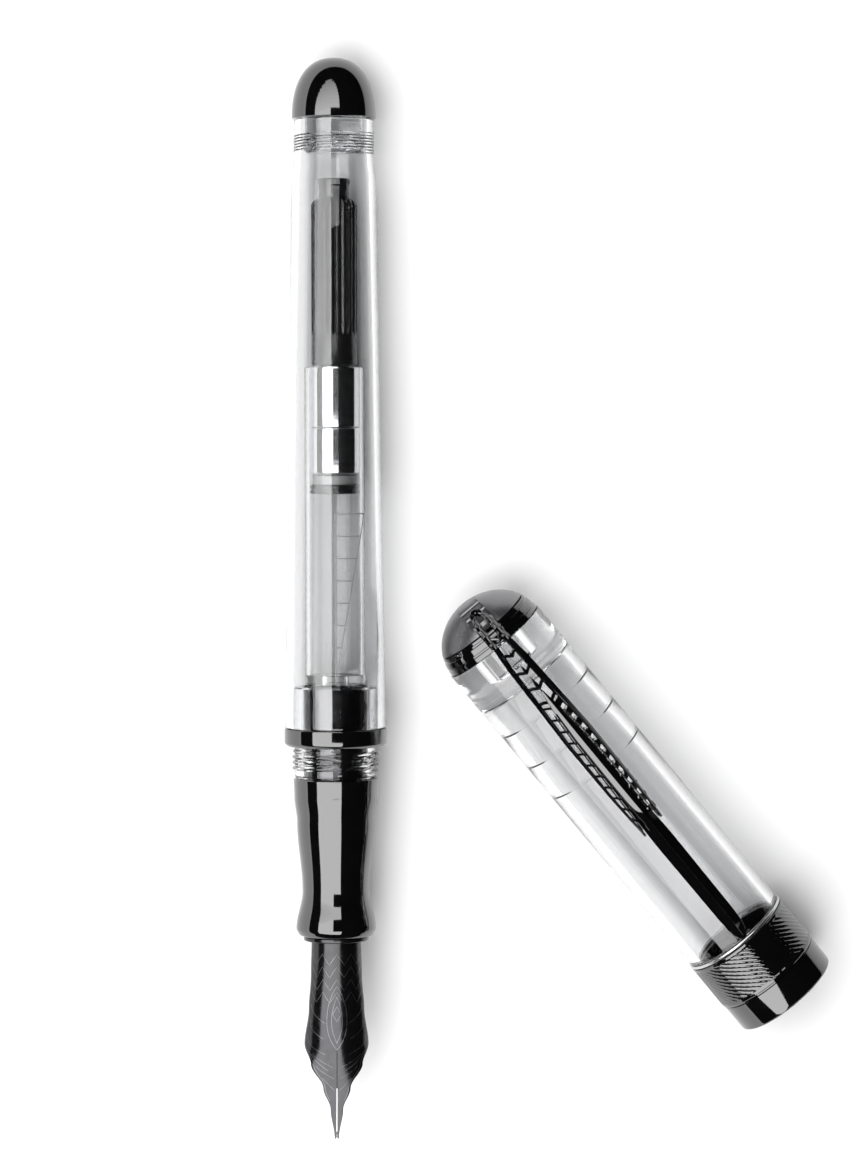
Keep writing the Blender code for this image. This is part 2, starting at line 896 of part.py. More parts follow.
def make_cap_end(axis, black, gunmetal, clear):
    ring_start = CAP_TUBE_REAR
    ring_end = ring_start + CLIP_RING_LENGTH
    neck = 0.3 * MM
    bore = CAP_PLUG_RADIUS + GAP
    quarter = CLIP_RING_LENGTH / 4
    ring = turned(
        "clip_ring",
        [
            (bore, ring_start),
            (dome_radius(ring_start), ring_start),
            (dome_radius(ring_start + quarter), ring_start + quarter),
            (dome_radius(ring_start + 1.3 * quarter) - neck, ring_start + 1.3 * quarter),
            (dome_radius(ring_start + 3 * quarter) - neck, ring_start + 3 * quarter),
            (dome_radius(ring_end) - 0.5 * neck, ring_end - GAP),
            (bore, ring_end - GAP),
        ],
        axis,
        black,
    )
    combine(ring, slot_shape("ring_slot_shape", axis, black), "DIFFERENCE")
    steps = 7
    shell = []
    for step in range(steps):
        angle = math.asin(CLIP_RING_LENGTH / (CAP_REAR - CAP_TUBE_REAR))
        angle += (0.5 * math.pi - angle) * step / steps
        station = CAP_TUBE_REAR + (CAP_REAR - CAP_TUBE_REAR) * math.sin(angle)
        shell.append((dome_radius(station), station))
    floor = CAP_REAR - 1.7 * MM
    dome = turned(
        "cap_dome",
        shell + [(0, CAP_REAR), (0, floor), (bore, floor), (bore, ring_end)],
        axis,
        gunmetal,
    )
    combine(dome, slot_shape("dome_slot_shape", axis, black), "DIFFERENCE")
    turned(
        "cap_dome_plug",
        [
            (0, CAP_PLUG_FRONT),
            (CAP_PLUG_RADIUS - 0.2 * MM, CAP_PLUG_FRONT),
            (CAP_PLUG_RADIUS, CAP_PLUG_FRONT + 0.2 * MM),
            (CAP_PLUG_RADIUS, floor - GAP),
            (0, floor - GAP),
        ],
        axis,
        clear,
        FINE_SIDES,
    )


# --- assembly -------------------------------------------------------------------------------------


def build():
    clear_scene()
    clear = look("clear_resin", (0.9, 0.91, 0.92), 0.05, clear=0.95)
    black = look("gloss_black", (0.01, 0.01, 0.012), 0.08)
    gunmetal = look("satin_gunmetal", (0.2, 0.2, 0.205), 0.34, 0.95)
    satin = look("black_plastic", (0.02, 0.02, 0.02), 0.4)
    dark = look("black_plated", (0.05, 0.05, 0.055), 0.25, 0.9)
    chrome = look("chrome", (0.8, 0.81, 0.82), 0.1, 1.0)
    steel = look("steel", (0.55, 0.55, 0.57), 0.25, 1.0)
    white = look("white_plastic", (0.85, 0.85, 0.83), 0.4)
    rubber = look("rubber", (0.02, 0.02, 0.02), 0.6)

    pen = empty("pen_axis", pen_place())
    identity = Matrix.Identity(4)
    make_barrel(pen, clear)
    plug_axis = empty("end_dome_plug_axis", identity, pen)
    dome_axis = empty("end_dome_axis", identity, plug_axis)
    make_end_dome(plug_axis, dome_axis, black, clear)

    section = empty("section_axis", identity, pen)
    make_section(section, black, clear, dark)
    make_grip(section, black, dark)
    nib_unit = empty("nib_unit_axis", identity, section)
    make_nib(nib_unit, dark, satin, steel)
    converter = empty("converter_axis", identity, section)
    make_converter(converter, clear, chrome)
    make_knob(empty("converter_knob_axis", identity, converter), satin, chrome)
    make_piston(empty("piston_axis", identity, converter), white, rubber)

    hinge_place = swing_hinge()
    hinge = empty("cap_swing_hinge", hinge_place)
    cap = empty("cap_axis", hinge_place.inverted() @ cap_place(), hinge)
    make_cap_bead(cap, dark)
    shell = empty("cap_turn_axis", identity, cap)
    make_cap_tube(shell, clear)
    make_cap_band(shell, black)
    make_cap_end(shell, black, gunmetal, clear)
    make_clip(shell, black)
    bpy.context.view_layer.update()


build()
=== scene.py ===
import json
from math import asin, atan2, cos, pi, radians, sin, sqrt, tan

import bmesh
import bpy
from mathutils import Matrix, Vector


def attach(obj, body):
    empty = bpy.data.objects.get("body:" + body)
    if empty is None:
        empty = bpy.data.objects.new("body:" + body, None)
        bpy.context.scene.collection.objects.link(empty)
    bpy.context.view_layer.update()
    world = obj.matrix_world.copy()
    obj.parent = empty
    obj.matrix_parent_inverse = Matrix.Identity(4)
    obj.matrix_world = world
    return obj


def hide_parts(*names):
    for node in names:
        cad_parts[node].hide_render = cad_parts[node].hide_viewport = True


# The look of a clear fountain pen lying open beside its cap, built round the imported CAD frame.
# Lengths are metres. Pen pieces are drawn in the pen's own axes (Y = 0 at the trim ring's nib side,
# +Y towards the end dome) and cap pieces in the cap's (Y = 0 at the mouth, +Y towards its dome).

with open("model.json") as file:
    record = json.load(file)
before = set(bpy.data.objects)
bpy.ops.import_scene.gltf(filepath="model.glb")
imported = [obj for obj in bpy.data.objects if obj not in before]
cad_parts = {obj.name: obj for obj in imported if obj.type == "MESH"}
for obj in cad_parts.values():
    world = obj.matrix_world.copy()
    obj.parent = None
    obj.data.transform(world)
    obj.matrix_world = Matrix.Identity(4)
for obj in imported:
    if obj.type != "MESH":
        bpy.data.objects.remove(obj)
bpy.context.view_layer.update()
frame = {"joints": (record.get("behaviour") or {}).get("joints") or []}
joints = {joint["name"]: joint for joint in frame["joints"]}

MM = 0.001
SIDES = 128  # points round a turned shape
CREASE = 32  # degrees between faces from which an edge is sharp
ON_SURFACE = 0.01 * MM  # a point this near a surface's radius belongs to it

# Pen: stations along its axis and radii, as in the CAD
NIB_TIP = -46.65 * MM
SECTION_FRONT = -23.07 * MM
END_RING_LENGTH = 0.55 * MM
GRIP_REAR = -3.8 * MM
TRIM_RING_LENGTH = 2.13 * MM
SOCKET_REAR = 7.2 * MM
BARREL_REAR = 73.9 * MM
PEN_REAR = 81.1 * MM
TRIM_RING_RADIUS = 6.08 * MM
END_DOME_RADIUS = 4.97 * MM
COLLAR_CORE_RADIUS = 4.85 * MM
COLLAR_CREST_RADIUS = 5.13 * MM
COLLAR_PITCH = 0.66 * MM
SOCKET_RADIUS = 3.79 * MM
SOCKET_BORE = 2.5 * MM
GRIP_BORE = 3.35 * MM
PEN_ROLL = radians(-5)
END_DOME_FLOOR = 77.2 * MM
END_PLUG_PITCH = 0.68 * MM

# Converter
CHAMBER_FRONT = 7.4 * MM
CHAMBER_REAR = 44.7 * MM
CHAMBER_RADIUS = 3.55 * MM
CHAMBER_BORE = 3.05 * MM
SLEEVE_FRONT = 32.25 * MM
SLEEVE_SPLIT = 37.6 * MM
KNOB_FRONT = 44.95 * MM
KNOB_REAR = 64.6 * MM
KNOB_RADIUS = 2.72 * MM
KNOB_FLUTES = 20
STUB_REAR = 66.84 * MM
STUB_RADIUS = 1.95 * MM
PISTON_FACE = 29.8 * MM
SCALE_FRONT = 7.7 * MM
SCALE_REAR = 27.5 * MM
SCALE_STEP = 2.62 * MM

# Nib and feed
NIB_THICKNESS = 0.3 * MM
NIB_ARCH_RADIUS = 3.12 * MM
NIB_TAIL = -12.0 * MM
NIB_SLIT_END = -35.6 * MM
FEED_REAR = -6.0 * MM
FEED_FRONT = -40.5 * MM
FEED_RADIUS = 2.7 * MM

# Cap
BAND_LENGTH = 9.75 * MM
BAND_STEP = 3.9 * MM
BAND_RADIUS = 6.8 * MM
RIM_RADIUS = 6.67 * MM
RIM_BORE = 5.5 * MM
BEAD_RADIUS = 6.83 * MM
BEAD_LENGTH = 0.4 * MM
CAP_TUBE_RADIUS = 6.65 * MM
CAP_END_RADIUS = 6.5 * MM
CAP_BORE = 5.4 * MM
CAP_SPIGOT_RADIUS = 5.9 * MM
CAP_BORE_END = 50.1 * MM
CAP_GROOVES = (36.8 * MM, 41.55 * MM, 46.3 * MM)
CAP_TUBE_REAR = 55.9 * MM
CLIP_RING_LENGTH = 2.2 * MM
CAP_REAR = 61.6 * MM
CAP_PLUG_FRONT = 52.0 * MM
CAP_PLUG_RADIUS = 2.4 * MM
CAP_DOME_FLOOR = CAP_REAR - 1.7 * MM
CLIP_THICKNESS = 0.7 * MM
CLIP_TIP = 10.3 * MM
CLIP_HEAD = 60.9 * MM
CLIP_VANES_END = 28.1 * MM
CLIP_KEEL_END = 48.8 * MM
CLIP_HEAD_ROOT = 58.2 * MM
GAP = 0.1 * MM


# --- where things are ---


def pen_place():
    joint = joints["end_dome_turn"]
    along = Vector(joint["axis"])
    origin = Vector(joint["pos_m"]) - BARREL_REAR * along
    slope = Matrix.Rotation(atan2(along.z, along.y), 4, "X")
    return Matrix.Translation(origin) @ slope @ Matrix.Rotation(PEN_ROLL, 4, "Y")


def cap_place():
    joint = joints["cap_turn"]
    along = -Vector(joint["axis"])
    turn = Matrix.Rotation(atan2(-along.x, along.y), 4, "Z")
    return Matrix.Translation(joint["pos_m"]) @ turn @ Matrix.Rotation(asin(along.z), 4, "X")


PEN = pen_place()
CAP = cap_place()


# --- finishes ---


class Finish:
    """A Principled material and the few node helpers that the finishes below share."""

    def __init__(self, name, colour, roughness, metallic=0.0, **sockets):
        self.material = bpy.data.materials.new(name)
        self.material.use_nodes = True
        self.tree = self.material.node_tree
        self.shader = self.tree.nodes["Principled BSDF"]
        self.place = self.node("ShaderNodeTexCoord").outputs["Object"]
        values = {"Base Color": (*colour, 1.0), "Roughness": roughness, "Metallic": metallic}
        self.feed(self.shader, values)
        self.feed(self.shader, {key.replace("_", " "): sockets[key] for key in sockets})

    def node(self, kind, values=None, **settings):
        made = self.tree.nodes.new(kind)
        for name, setting in settings.items():
            setattr(made, name, setting)
        self.feed(made, values or {})
        return made

    def feed(self, node, values):
        """Sets a node's inputs to numbers, or joins them to other nodes' outputs."""
        for name, value in values.items():
            if isinstance(value, bpy.types.NodeSocket):
                self.tree.links.new(value, node.inputs[name])
            else:
                node.inputs[name].default_value = value

    def math(self, operation, first, second):
        return self.node("ShaderNodeMath", {0: first, 1: second}, operation=operation).outputs[0]

    def stretched(self, size):
        """Object coordinates divided by a feature size along each axis."""
        values = {"Vector": self.place, "Scale": [1 / length for length in size]}
        return self.node("ShaderNodeMapping", values, vector_type="POINT").outputs["Vector"]

    def turned(self, around, along):
        """Coordinates round and along the Y axis, divided by an angle and a length."""
        parts = self.node("ShaderNodeSeparateXYZ", {0: self.place}).outputs
        angle = self.math("ARCTAN2", parts["X"], parts["Z"])
        angle = self.math("MULTIPLY", angle, 1 / around)
        length = self.math("MULTIPLY", parts["Y"], 1 / along)
        return self.node("ShaderNodeCombineXYZ", {"X": angle, "Y": length}).outputs[0]

    def noise(self, vector, detail=3.0, roughness=0.6):
        values = {"Vector": vector, "Scale": 1.0, "Detail": detail, "Roughness": roughness}
        return self.node("ShaderNodeTexNoise", values).outputs["Fac"]

    def ranged(self, value, low, high, start=0.3, end=0.7):
        values = {"Value": value, "From Min": start, "From Max": end, "To Min": low, "To Max": high}
        return self.node("ShaderNodeMapRange", values).outputs["Result"]

    def mixed(self, value, first, second):
        """The first colour where a value is 0, the second where it is 1."""
        made = self.node("ShaderNodeMix", {"Factor": value}, data_type="RGBA")
        start, end = [socket for socket in made.inputs if socket.type == "RGBA"]
        start.default_value = (*first, 1.0)
        end.default_value = (*second, 1.0)
        return next(socket for socket in made.outputs if socket.type == "RGBA")

    def vary_colour(self, value, first, second):
        self.feed(self.shader, {"Base Color": self.mixed(value, first, second)})

    def vary_roughness(self, value, low, high, start=0.3, end=0.7):
        self.feed(self.shader, {"Roughness": self.ranged(value, low, high, start, end)})

    def bump(self, value, distance, strength=1.0):
        values = {"Height": value, "Distance": distance, "Strength": strength}
        self.feed(self.shader, {"Normal": self.node("ShaderNodeBump", values).outputs["Normal"]})

    def towards_edge(self, blend=0.35):
        """0 where a surface faces the eye, 1 where it turns away."""
        return self.node("ShaderNodeLayerWeight", {"Blend": blend}).outputs["Facing"]

    def lets_light_through(self, tint):
        """Shadows and diffuse light pass straight through, tinted, and darker near the edges."""
        shade = self.mixed(self.towards_edge(), tint, [0.2 * part for part in tint])
        straight = self.node("ShaderNodeBsdfTransparent", {"Color": shade}).outputs[0]
        path = self.node("ShaderNodeLightPath").outputs
        either = self.math("MAXIMUM", path["Is Shadow Ray"], path["Is Diffuse Ray"])
        mix = self.node("ShaderNodeMixShader", {0: either, 1: self.shader.outputs[0], 2: straight})
        self.feed(self.tree.nodes["Material Output"], {"Surface": mix.outputs[0]})


def make_clear(name, colour, edge, tint, roughness=0.015, ior=1.49):
    """Clear resin of one colour face on and a darker one at its rims, which is painted shade, with a
    tint for its shadow.
    """
    made = Finish(name, colour, roughness, Transmission_Weight=1.0, IOR=ior)
    scratches = made.noise(made.turned(0.12, 1.5 * MM), 5.0)
    made.vary_roughness(scratches, 0.0, 2.2 * roughness, 0.45, 0.8)
    # Painted shade: the colour darkens towards the rims, where the surface turns from the eye, a
    # little less where the scratch pattern is low
    depth = made.math("MULTIPLY", made.towards_edge(), made.ranged(scratches, 0.9, 1.0))
    made.vary_colour(depth, colour, edge)
    made.bump(made.noise(made.stretched([4 * MM] * 3), 2.0), 0.012 * MM)
    made.lets_light_through(tint)
    return made.material


def make_gloss_black():
    made = Finish("gloss_black", (0.0015, 0.0015, 0.0017), 0.04, IOR=1.95)
    smudges = made.noise(made.stretched([1.8 * MM] * 3), 4.0)
    made.vary_roughness(smudges, 0.025, 0.07)
    made.vary_colour(smudges, (0.001, 0.001, 0.0012), (0.0026, 0.0026, 0.0028))
    made.bump(made.noise(made.turned(0.3, 0.25 * MM), 4.0), 0.004 * MM, 0.5)
    return made.material


def make_gunmetal():
    made = Finish("satin_gunmetal", (0.2, 0.2, 0.205), 0.34, 0.95)
    lines = made.noise(made.turned(0.035, 2.2 * MM), 4.0, 0.7)
    made.vary_colour(lines, (0.13, 0.13, 0.135), (0.27, 0.27, 0.28))
    made.vary_roughness(lines, 0.26, 0.42)
    made.bump(lines, 0.02 * MM, 0.5)
    return made.material


def make_plated(name, dark, light, roughness):
    made = Finish(name, dark, roughness, 0.95)
    clouds = made.noise(made.stretched([0.9 * MM] * 3), 5.0)
    made.vary_colour(clouds, dark, light)
    made.vary_roughness(clouds, 0.75 * roughness, 1.35 * roughness)
    made.bump(made.noise(made.stretched([0.2 * MM, 1.2 * MM, 0.2 * MM]), 3.0), 0.006 * MM, 0.6)
    return made.material


def make_chrome():
    made = Finish("chrome", (0.72, 0.73, 0.75), 0.08, 1.0)
    turning = made.noise(made.turned(2.0, 0.06 * MM), 4.0)
    made.vary_colour(turning, (0.62, 0.63, 0.65), (0.8, 0.81, 0.83))
    made.vary_roughness(turning, 0.05, 0.16)
    made.bump(turning, 0.004 * MM, 0.6)
    return made.material


def make_plastic(name, dark, light, low, high, pit, ior=1.5):
    """Moulded plastic between two colours and two roughnesses."""
    made = Finish(name, dark, low, IOR=ior)
    grain = made.noise(made.stretched([pit] * 3), 5.0)
    made.vary_colour(grain, dark, light)
    made.vary_roughness(grain, low, high)
    made.bump(grain, 0.03 * pit, 0.6)
    return made.material


def grey(value):
    return (value, value, value)


# Each finish is the record's material slot, then its material or materials
# Clear finishes: colour face on, a darker colour at the rims that is painted shade, and the tint of
# their shadows
RESIN = (0.935, 0.938, 0.943), (0.56, 0.565, 0.57), (0.945, 0.947, 0.95)
CLEAR = ("clear_resin", make_clear("clear_resin", *RESIN))
# The chamber's set is lighter, with a milder painted shade at its rims
MILD = grey(0.98), grey(0.9), grey(0.97)
CHAMBER = ("clear_resin", make_clear("clear_chamber", *MILD, 0.01, 1.3))
GLOSS_BLACK = ("gloss_black", make_gloss_black())
GUNMETAL = ("satin_gunmetal", make_gunmetal())
DARK_PLATED = (
    "black_plated",
    make_plated("black_plated", (0.035, 0.035, 0.037), (0.068, 0.068, 0.071), 0.16),
)
ENGRAVED_PLATED = (
    *DARK_PLATED,
    make_plated("engraved_lines", (0.11, 0.11, 0.115), (0.19, 0.19, 0.2), 0.3),
)
STEEL = ("steel", make_plated("steel", (0.45, 0.45, 0.46), (0.6, 0.6, 0.61), 0.24))
BRIGHT_PLATED = ("black_plated", STEEL[1])
CHROME = ("chrome", make_chrome())
DARK = (0.004, 0.004, 0.0045), (0.01, 0.01, 0.011)
BLACK_PLASTIC = ("black_plastic", make_plastic("black_plastic", *DARK, 0.16, 0.27, 0.12 * MM, 1.48))
PALE = (0.72, 0.72, 0.7), (0.8, 0.8, 0.78)
WHITE_PLASTIC = ("white_plastic", make_plastic("white_plastic", *PALE, 0.3, 0.5, 0.3 * MM))
RUBBER = ("rubber", make_plastic("rubber", grey(0.004), grey(0.01), 0.14, 0.24, 0.15 * MM, 1.7))
GREYS = grey(0.2), grey(0.32)
GREY_PLASTIC = ("white_plastic", make_plastic("grey_plastic", *GREYS, 0.22, 0.4, 0.3 * MM))
INK = grey(0.3), grey(0.42)
PRINT = ("white_plastic", make_plastic("scale_print", *INK, 0.45, 0.6, 0.1 * MM))


# --- shapes ---


def mm(*points):
    """Pairs of millimetres as pairs of metres."""
    return [(first * MM, second * MM) for first, second in points]


def add_object(name, data, place):
    made = bpy.data.objects.new(name, data)
    made.matrix_world = place
    bpy.context.scene.collection.objects.link(made)
    return made


def add_mesh(name, bm, place, *materials):
    """A mesh object from a bmesh drawn in a place's own axes."""
    mesh = bpy.data.meshes.new(name)
    bm.to_mesh(mesh)
    bm.free()
    for material in materials:
        mesh.materials.append(material)
    return add_object(name, mesh, place)


def piece(name, bm, place, body, nodes, slot, *materials, crease=CREASE):
    """A named piece, which rides on a body and replaces CAD nodes."""
    bmesh.ops.recalc_face_normals(bm, faces=bm.faces)
    made = add_mesh(name, bm, place, *materials)
    made.data.shade_smooth()
    made.data.set_sharp_from_angle(angle=radians(crease))
    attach(made, body)
    if nodes:
        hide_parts(*nodes)
    return made


def rounded(outline, reach):
    """A closed outline of (radius, station) points with its corners drawn as small arcs."""
    nearly_straight = radians(160)
    most = 0.45  # of the way to the next corner
    points = []
    for index, here in enumerate(outline):
        corner = Vector(here)
        before = Vector(outline[index - 1]) - corner
        after = Vector(outline[(index + 1) % len(outline)]) - corner
        if corner.x == 0 or before.angle(after) > nearly_straight:
            points.append(tuple(corner))
            continue
        start = corner + before.normalized() * min(reach, most * before.length)
        end = corner + after.normalized() * min(reach, most * after.length)
        for share in (0, 0.25, 0.5, 0.75, 1):
            points.append(tuple(start.lerp(corner, share).lerp(corner.lerp(end, share), share)))
    return points


def lathe(outline, sides, relief):
    """A closed outline of (radius, station) points turned round Y. relief(angle, radius, station)
    returns the (radius, station) that a point moves to."""
    bm = bmesh.new()
    rings = []
    for radius, station in outline:
        if radius == 0:
            rings.append([bm.verts.new((0, station, 0))] * sides)
            continue
        ring = []
        for side in range(sides):
            angle = 2 * pi * side / sides
            reach, along = relief(angle, radius, station) if relief else (radius, station)
            ring.append(bm.verts.new((reach * sin(angle), along, reach * cos(angle))))
        rings.append(ring)
    for first, second in zip(rings, rings[1:] + rings[:1]):
        for side in range(sides):
            after = (side + 1) % sides
            corners = list(dict.fromkeys([first[side], first[after], second[after], second[side]]))
            if len(corners) > 2:
                bm.faces.new(corners)
    return bm


def loft(rows, bm=None):
    """A closed solid through rows of points, each row one closed outline."""
    bm = bm or bmesh.new()
    rings = [[bm.verts.new(point) for point in row] for row in rows]
    for first, second in zip(rings, rings[1:]):
        for index in range(len(first)):
            after = (index + 1) % len(first)
            bm.faces.new([first[index], first[after], second[after], second[index]])
    bm.faces.new(rings[0])
    bm.faces.new(rings[-1])
    return bm


def straight(points, at, eased=False):
    """Interpolation through (place, value) points sorted by place."""
    if at <= points[0][0]:
        return points[0][1]
    for (here, low), (after, high) in zip(points, points[1:]):
        if at <= after:
            share = (at - here) / (after - here)
            if eased:
                share = share * share * (3 - 2 * share)
            return low + (high - low) * share
    return points[-1][1]


def between(points, at):
    """The same with a smooth start and stop at each point."""
    return straight(points, at, eased=True)


def steps(start, end, count):
    return [start + (end - start) * step / count for step in range(count + 1)]


def line(radius, start, end, count):
    """Points of one radius along the axis."""
    return [(radius, station) for station in steps(start, end, count)]


def near(radius, station, *offsets):
    """Points at offsets in millimetres from a place."""
    return [(radius + out * MM, station + along * MM) for out, along in offsets]


def tube(outer, bore, start, end, edge=0.12 * MM):
    """The outline of a plain tube with softened edges."""
    return rounded([(bore, start), (outer, start), (outer, end), (bore, end)], edge)


def turned(name, outline, place, body, node, *finish, sides=SIDES, relief=None):
    """A named piece turned from its outline, which replaces one CAD node."""
    return piece(name, lathe(outline, sides, relief), place, body, [node], *finish)


def cut(target, cutter):
    """Takes a helper shape out of a piece."""
    step = target.modifiers.new("cut", "BOOLEAN")
    step.operation = "DIFFERENCE"
    step.solver = "EXACT"
    step.object = cutter
    graph = bpy.context.evaluated_depsgraph_get()
    mesh = bpy.data.meshes.new_from_object(target.evaluated_get(graph))
    target.modifiers.clear()
    target.data = mesh
    mesh.set_sharp_from_angle(angle=radians(CREASE))
    bpy.data.objects.remove(cutter, do_unlink=True)


def thread_rise(angle, station, start, turns, pitch, depth, width=0.36):
    """Height of a helical ridge over its core at a place. Its foot is a width, in pitches, to each
    side of its middle, and it runs out to nothing in a third of a turn at both ends."""
    wound = (station - start) / pitch
    nearest = round(wound - angle / (2 * pi))
    turn = nearest + angle / (2 * pi)
    if turn < 0 or turn > turns:
        return 0.0
    fade = min(1.0, 3 * turn, 3 * (turns - turn))
    shape = max(0.0, 1 - abs(wound - turn) / width)
    return depth * fade * min(1.0, 1.6 * shape)


def threaded(core, low, high, *thread):
    """A relief with a thread on the surface of one radius, between two stations. A depth below 0
    goes inwards."""

    def relief(angle, radius, station):
        if abs(radius - core) > ON_SURFACE or not low < station < high:
            return radius, station
        return radius + thread_rise(angle, station, *thread), station

    return relief


# --- barrel and end dome ---


def make_barrel():
    outer = mm((2.23, 6.03), (8.87, 5.92), (24.84, 5.63), (44.36, 5.35), (55.0, 5.2))
    outer += mm((65.66, 5.09), (69.2, 4.76), (73.75, 4.72))
    front, rear = outer[0][0], outer[-1][0]
    bore = 3.95 * MM
    inner = mm((2.23, 5.08), (8.87, 5.05), (44.36, 4.6), (66.8, 4.15), (68.6, 3.95))
    inner += [(station, bore) for station in steps(69.3 * MM, 72.9 * MM, 60)]
    inner.append((rear, bore))
    thread = (69.86 * MM, 3.4, END_PLUG_PITCH, -0.12 * MM)
    relief = threaded(bore, 69.4 * MM, 72.8 * MM, *thread)

    # Smoothed rows, or the refraction shows each change of taper as a kink
    rows, passes = 240, 12
    outside = [(straight(outer, station), station) for station in steps(front, rear, rows)]
    for _ in range(passes):
        middle = [
            ((before[0] + 2 * here[0] + after[0]) / 4, here[1])
            for before, here, after in zip(outside, outside[1:], outside[2:])
        ]
        outside = [outside[0], *middle, outside[-1]]
    inside = [(radius, station) for station, radius in reversed(inner)]
    corners = rounded([inside[-1], outside[0], outside[-1], inside[0]], 0.1 * MM)
    half = len(corners) // 2
    shell = corners[:half] + outside[1:-1] + corners[half:] + inside[1:-1]
    turned("barrel_shell", shell, PEN, "barrel", "barrel_tube", *CLEAR, relief=relief)


def make_end_dome():
    power = 2.3  # 2 would be a half ellipse, more is fuller
    rows = 28
    chamfer = 0.08 * MM
    bore = 3.5 * MM
    base = BARREL_REAR + 0.04 * MM
    shell = []
    for row in range(rows):
        angle = 0.5 * pi * row / rows
        reach = END_DOME_RADIUS * cos(angle) ** (2 / power)
        shell.append((reach, base + (PEN_REAR - base) * sin(angle) ** (2 / power)))
    outline = [(END_DOME_RADIUS - chamfer, base), (END_DOME_RADIUS, base + chamfer)] + shell[1:]
    outline += [(0, PEN_REAR), (0, END_DOME_FLOOR), (bore, END_DOME_FLOOR), (bore, base)]
    turned("end_dome_shell", outline, PEN, "end_dome", "end_dome", *GLOSS_BLACK)


def make_end_plug():
    front, shoulder = 69.8 * MM, 72.1 * MM
    core, neck = 3.5 * MM, 3.4 * MM
    rear = END_DOME_FLOOR - GAP
    thread = (front + 0.4 * MM, 2.6, END_PLUG_PITCH, 0.3 * MM)
    outline = [(0, front), (core - 0.3 * MM, front)]
    outline += line(core, front + 0.3 * MM, shoulder, 30)
    outline += [(neck, shoulder), (neck, rear), (0, rear)]
    relief = threaded(core, front + 0.2 * MM, shoulder - 0.05 * MM, *thread)
    turned("end_plug", outline, PEN, "end_dome_plug", "end_dome_plug", *CLEAR, relief=relief)


# --- section ---


def make_trim_ring():
    bore, chamfer = 4.7 * MM, 0.35 * MM
    outline = [(bore, 0), (TRIM_RING_RADIUS - chamfer, 0), (TRIM_RING_RADIUS, chamfer)]
    outline += [(TRIM_RING_RADIUS, TRIM_RING_LENGTH), (bore, TRIM_RING_LENGTH)]
    outline = rounded(outline, 0.16 * MM)
    turned("trim_ring_plain", outline, PEN, "section", "trim_ring", *GLOSS_BLACK)


def make_collar():
    inside = SOCKET_RADIUS + GAP
    front = GRIP_REAR + GAP
    ring_end = TRIM_RING_LENGTH + GAP
    rear = SOCKET_REAR - GAP
    core = COLLAR_CORE_RADIUS
    spigot = 4.95 * MM
    under_ring = 4.6 * MM
    thread = (GRIP_REAR + 0.75 * MM, 4.0, COLLAR_PITCH, COLLAR_CREST_RADIUS - core, 0.42)
    outline = [(inside, front), (core - 0.15 * MM, front)]
    outline += line(core, front + 0.15 * MM, -GAP, 56)
    outline += [(under_ring, -GAP), (under_ring, ring_end), (spigot, ring_end)]
    outline += [(spigot, SOCKET_REAR - 0.3 * MM), (spigot - 0.2 * MM, rear), (inside, rear)]
    relief = threaded(core, front + 0.3 * MM, -0.2 * MM, *thread)
    turned("section_thread", outline, PEN, "section", "thread_collar", *CLEAR, relief=relief)


def make_socket():
    scallops, depth = 22, 0.12 * MM

    def relief(angle, radius, station):
        if station < SOCKET_REAR - 0.05 * MM:
            return radius, station
        return radius, station - depth * (0.5 + 0.5 * cos(scallops * angle)) ** 2

    front = GRIP_REAR + GAP
    outline = [(SOCKET_BORE, front), (SOCKET_RADIUS, front)]
    outline += near(SOCKET_RADIUS, SOCKET_REAR, (0, -0.3), (0, 0), (-0.25, 0), (-0.4, -0.15))
    outline.append((SOCKET_BORE, SOCKET_REAR - 0.15 * MM))
    outline = rounded(outline, 0.05 * MM)
    shape = {"sides": scallops * 8, "relief": relief}
    turned("socket_sleeve", outline, PEN, "section", "converter_socket", *DARK_PLATED, **shape)


def grip_radius(station):
    """The grip's waisted outline: widest behind, a waist near the front, then a flared lip."""
    profile = mm((-22.4, 4.45), (-21.65, 4.75), (-17.2, 3.98), (-9.0, 4.62), (-6.0, 4.93))
    profile += mm((-3.8, 5.0))
    return between(profile, station)


def make_grip():
    front = SECTION_FRONT + END_RING_LENGTH + 0.05 * MM
    outline = [(GRIP_BORE, front), (4.2 * MM, front), (4.34 * MM, front + 0.06 * MM)]
    for station in steps(front + 0.15 * MM, GRIP_REAR - 0.1 * MM, 90):
        outline.append((grip_radius(station), station))
    outline += [(4.9 * MM, GRIP_REAR), (GRIP_BORE, GRIP_REAR)]
    turned("grip_shell", outline, PEN, "section", "grip", *GLOSS_BLACK)
    ring = tube(3.86 * MM, GRIP_BORE, SECTION_FRONT, SECTION_FRONT + END_RING_LENGTH, 0.18 * MM)
    turned("grip_ring", ring, PEN, "section", "grip_end_ring", *DARK_PLATED)


# --- nib and feed ---


def nib_half_width(station):
    """Half the nib's width: a slow swell to the wings, then concave shoulders down to the point."""
    profile = mm((-46.65, 0.26), (-43.0, 0.75), (-40.4, 1.62), (-37.6, 3.1), (-35.4, 3.86))
    profile += mm((-31.0, 3.33), (-27.0, 3.07), (-23.07, 2.98), (-12.0, 2.9))
    return between(profile, station)


def nib_arch(station):
    """(radius of the nib's arch, height of its crown above the pen's axis)."""
    opening = between([(NIB_TIP, 9.0), (-35.4 * MM, 1.42), (-24.0 * MM, 1.0)], station)
    crown = between([(NIB_TIP, 0.9 * MM), (-40.0 * MM, 2.3 * MM), (-30.0 * MM, 3.12 * MM)], station)
    return NIB_ARCH_RADIUS * opening, crown


def nib_point(share, station, lift=0.0):
    """A point over the nib's face: share runs from -1 at the left edge to 1 at the right edge."""
    radius, crown = nib_arch(station)
    angle = share * asin(min(0.999, nib_half_width(station) / radius))
    reach = radius + lift
    return Vector((reach * sin(angle), station, crown - radius + reach * cos(angle)))


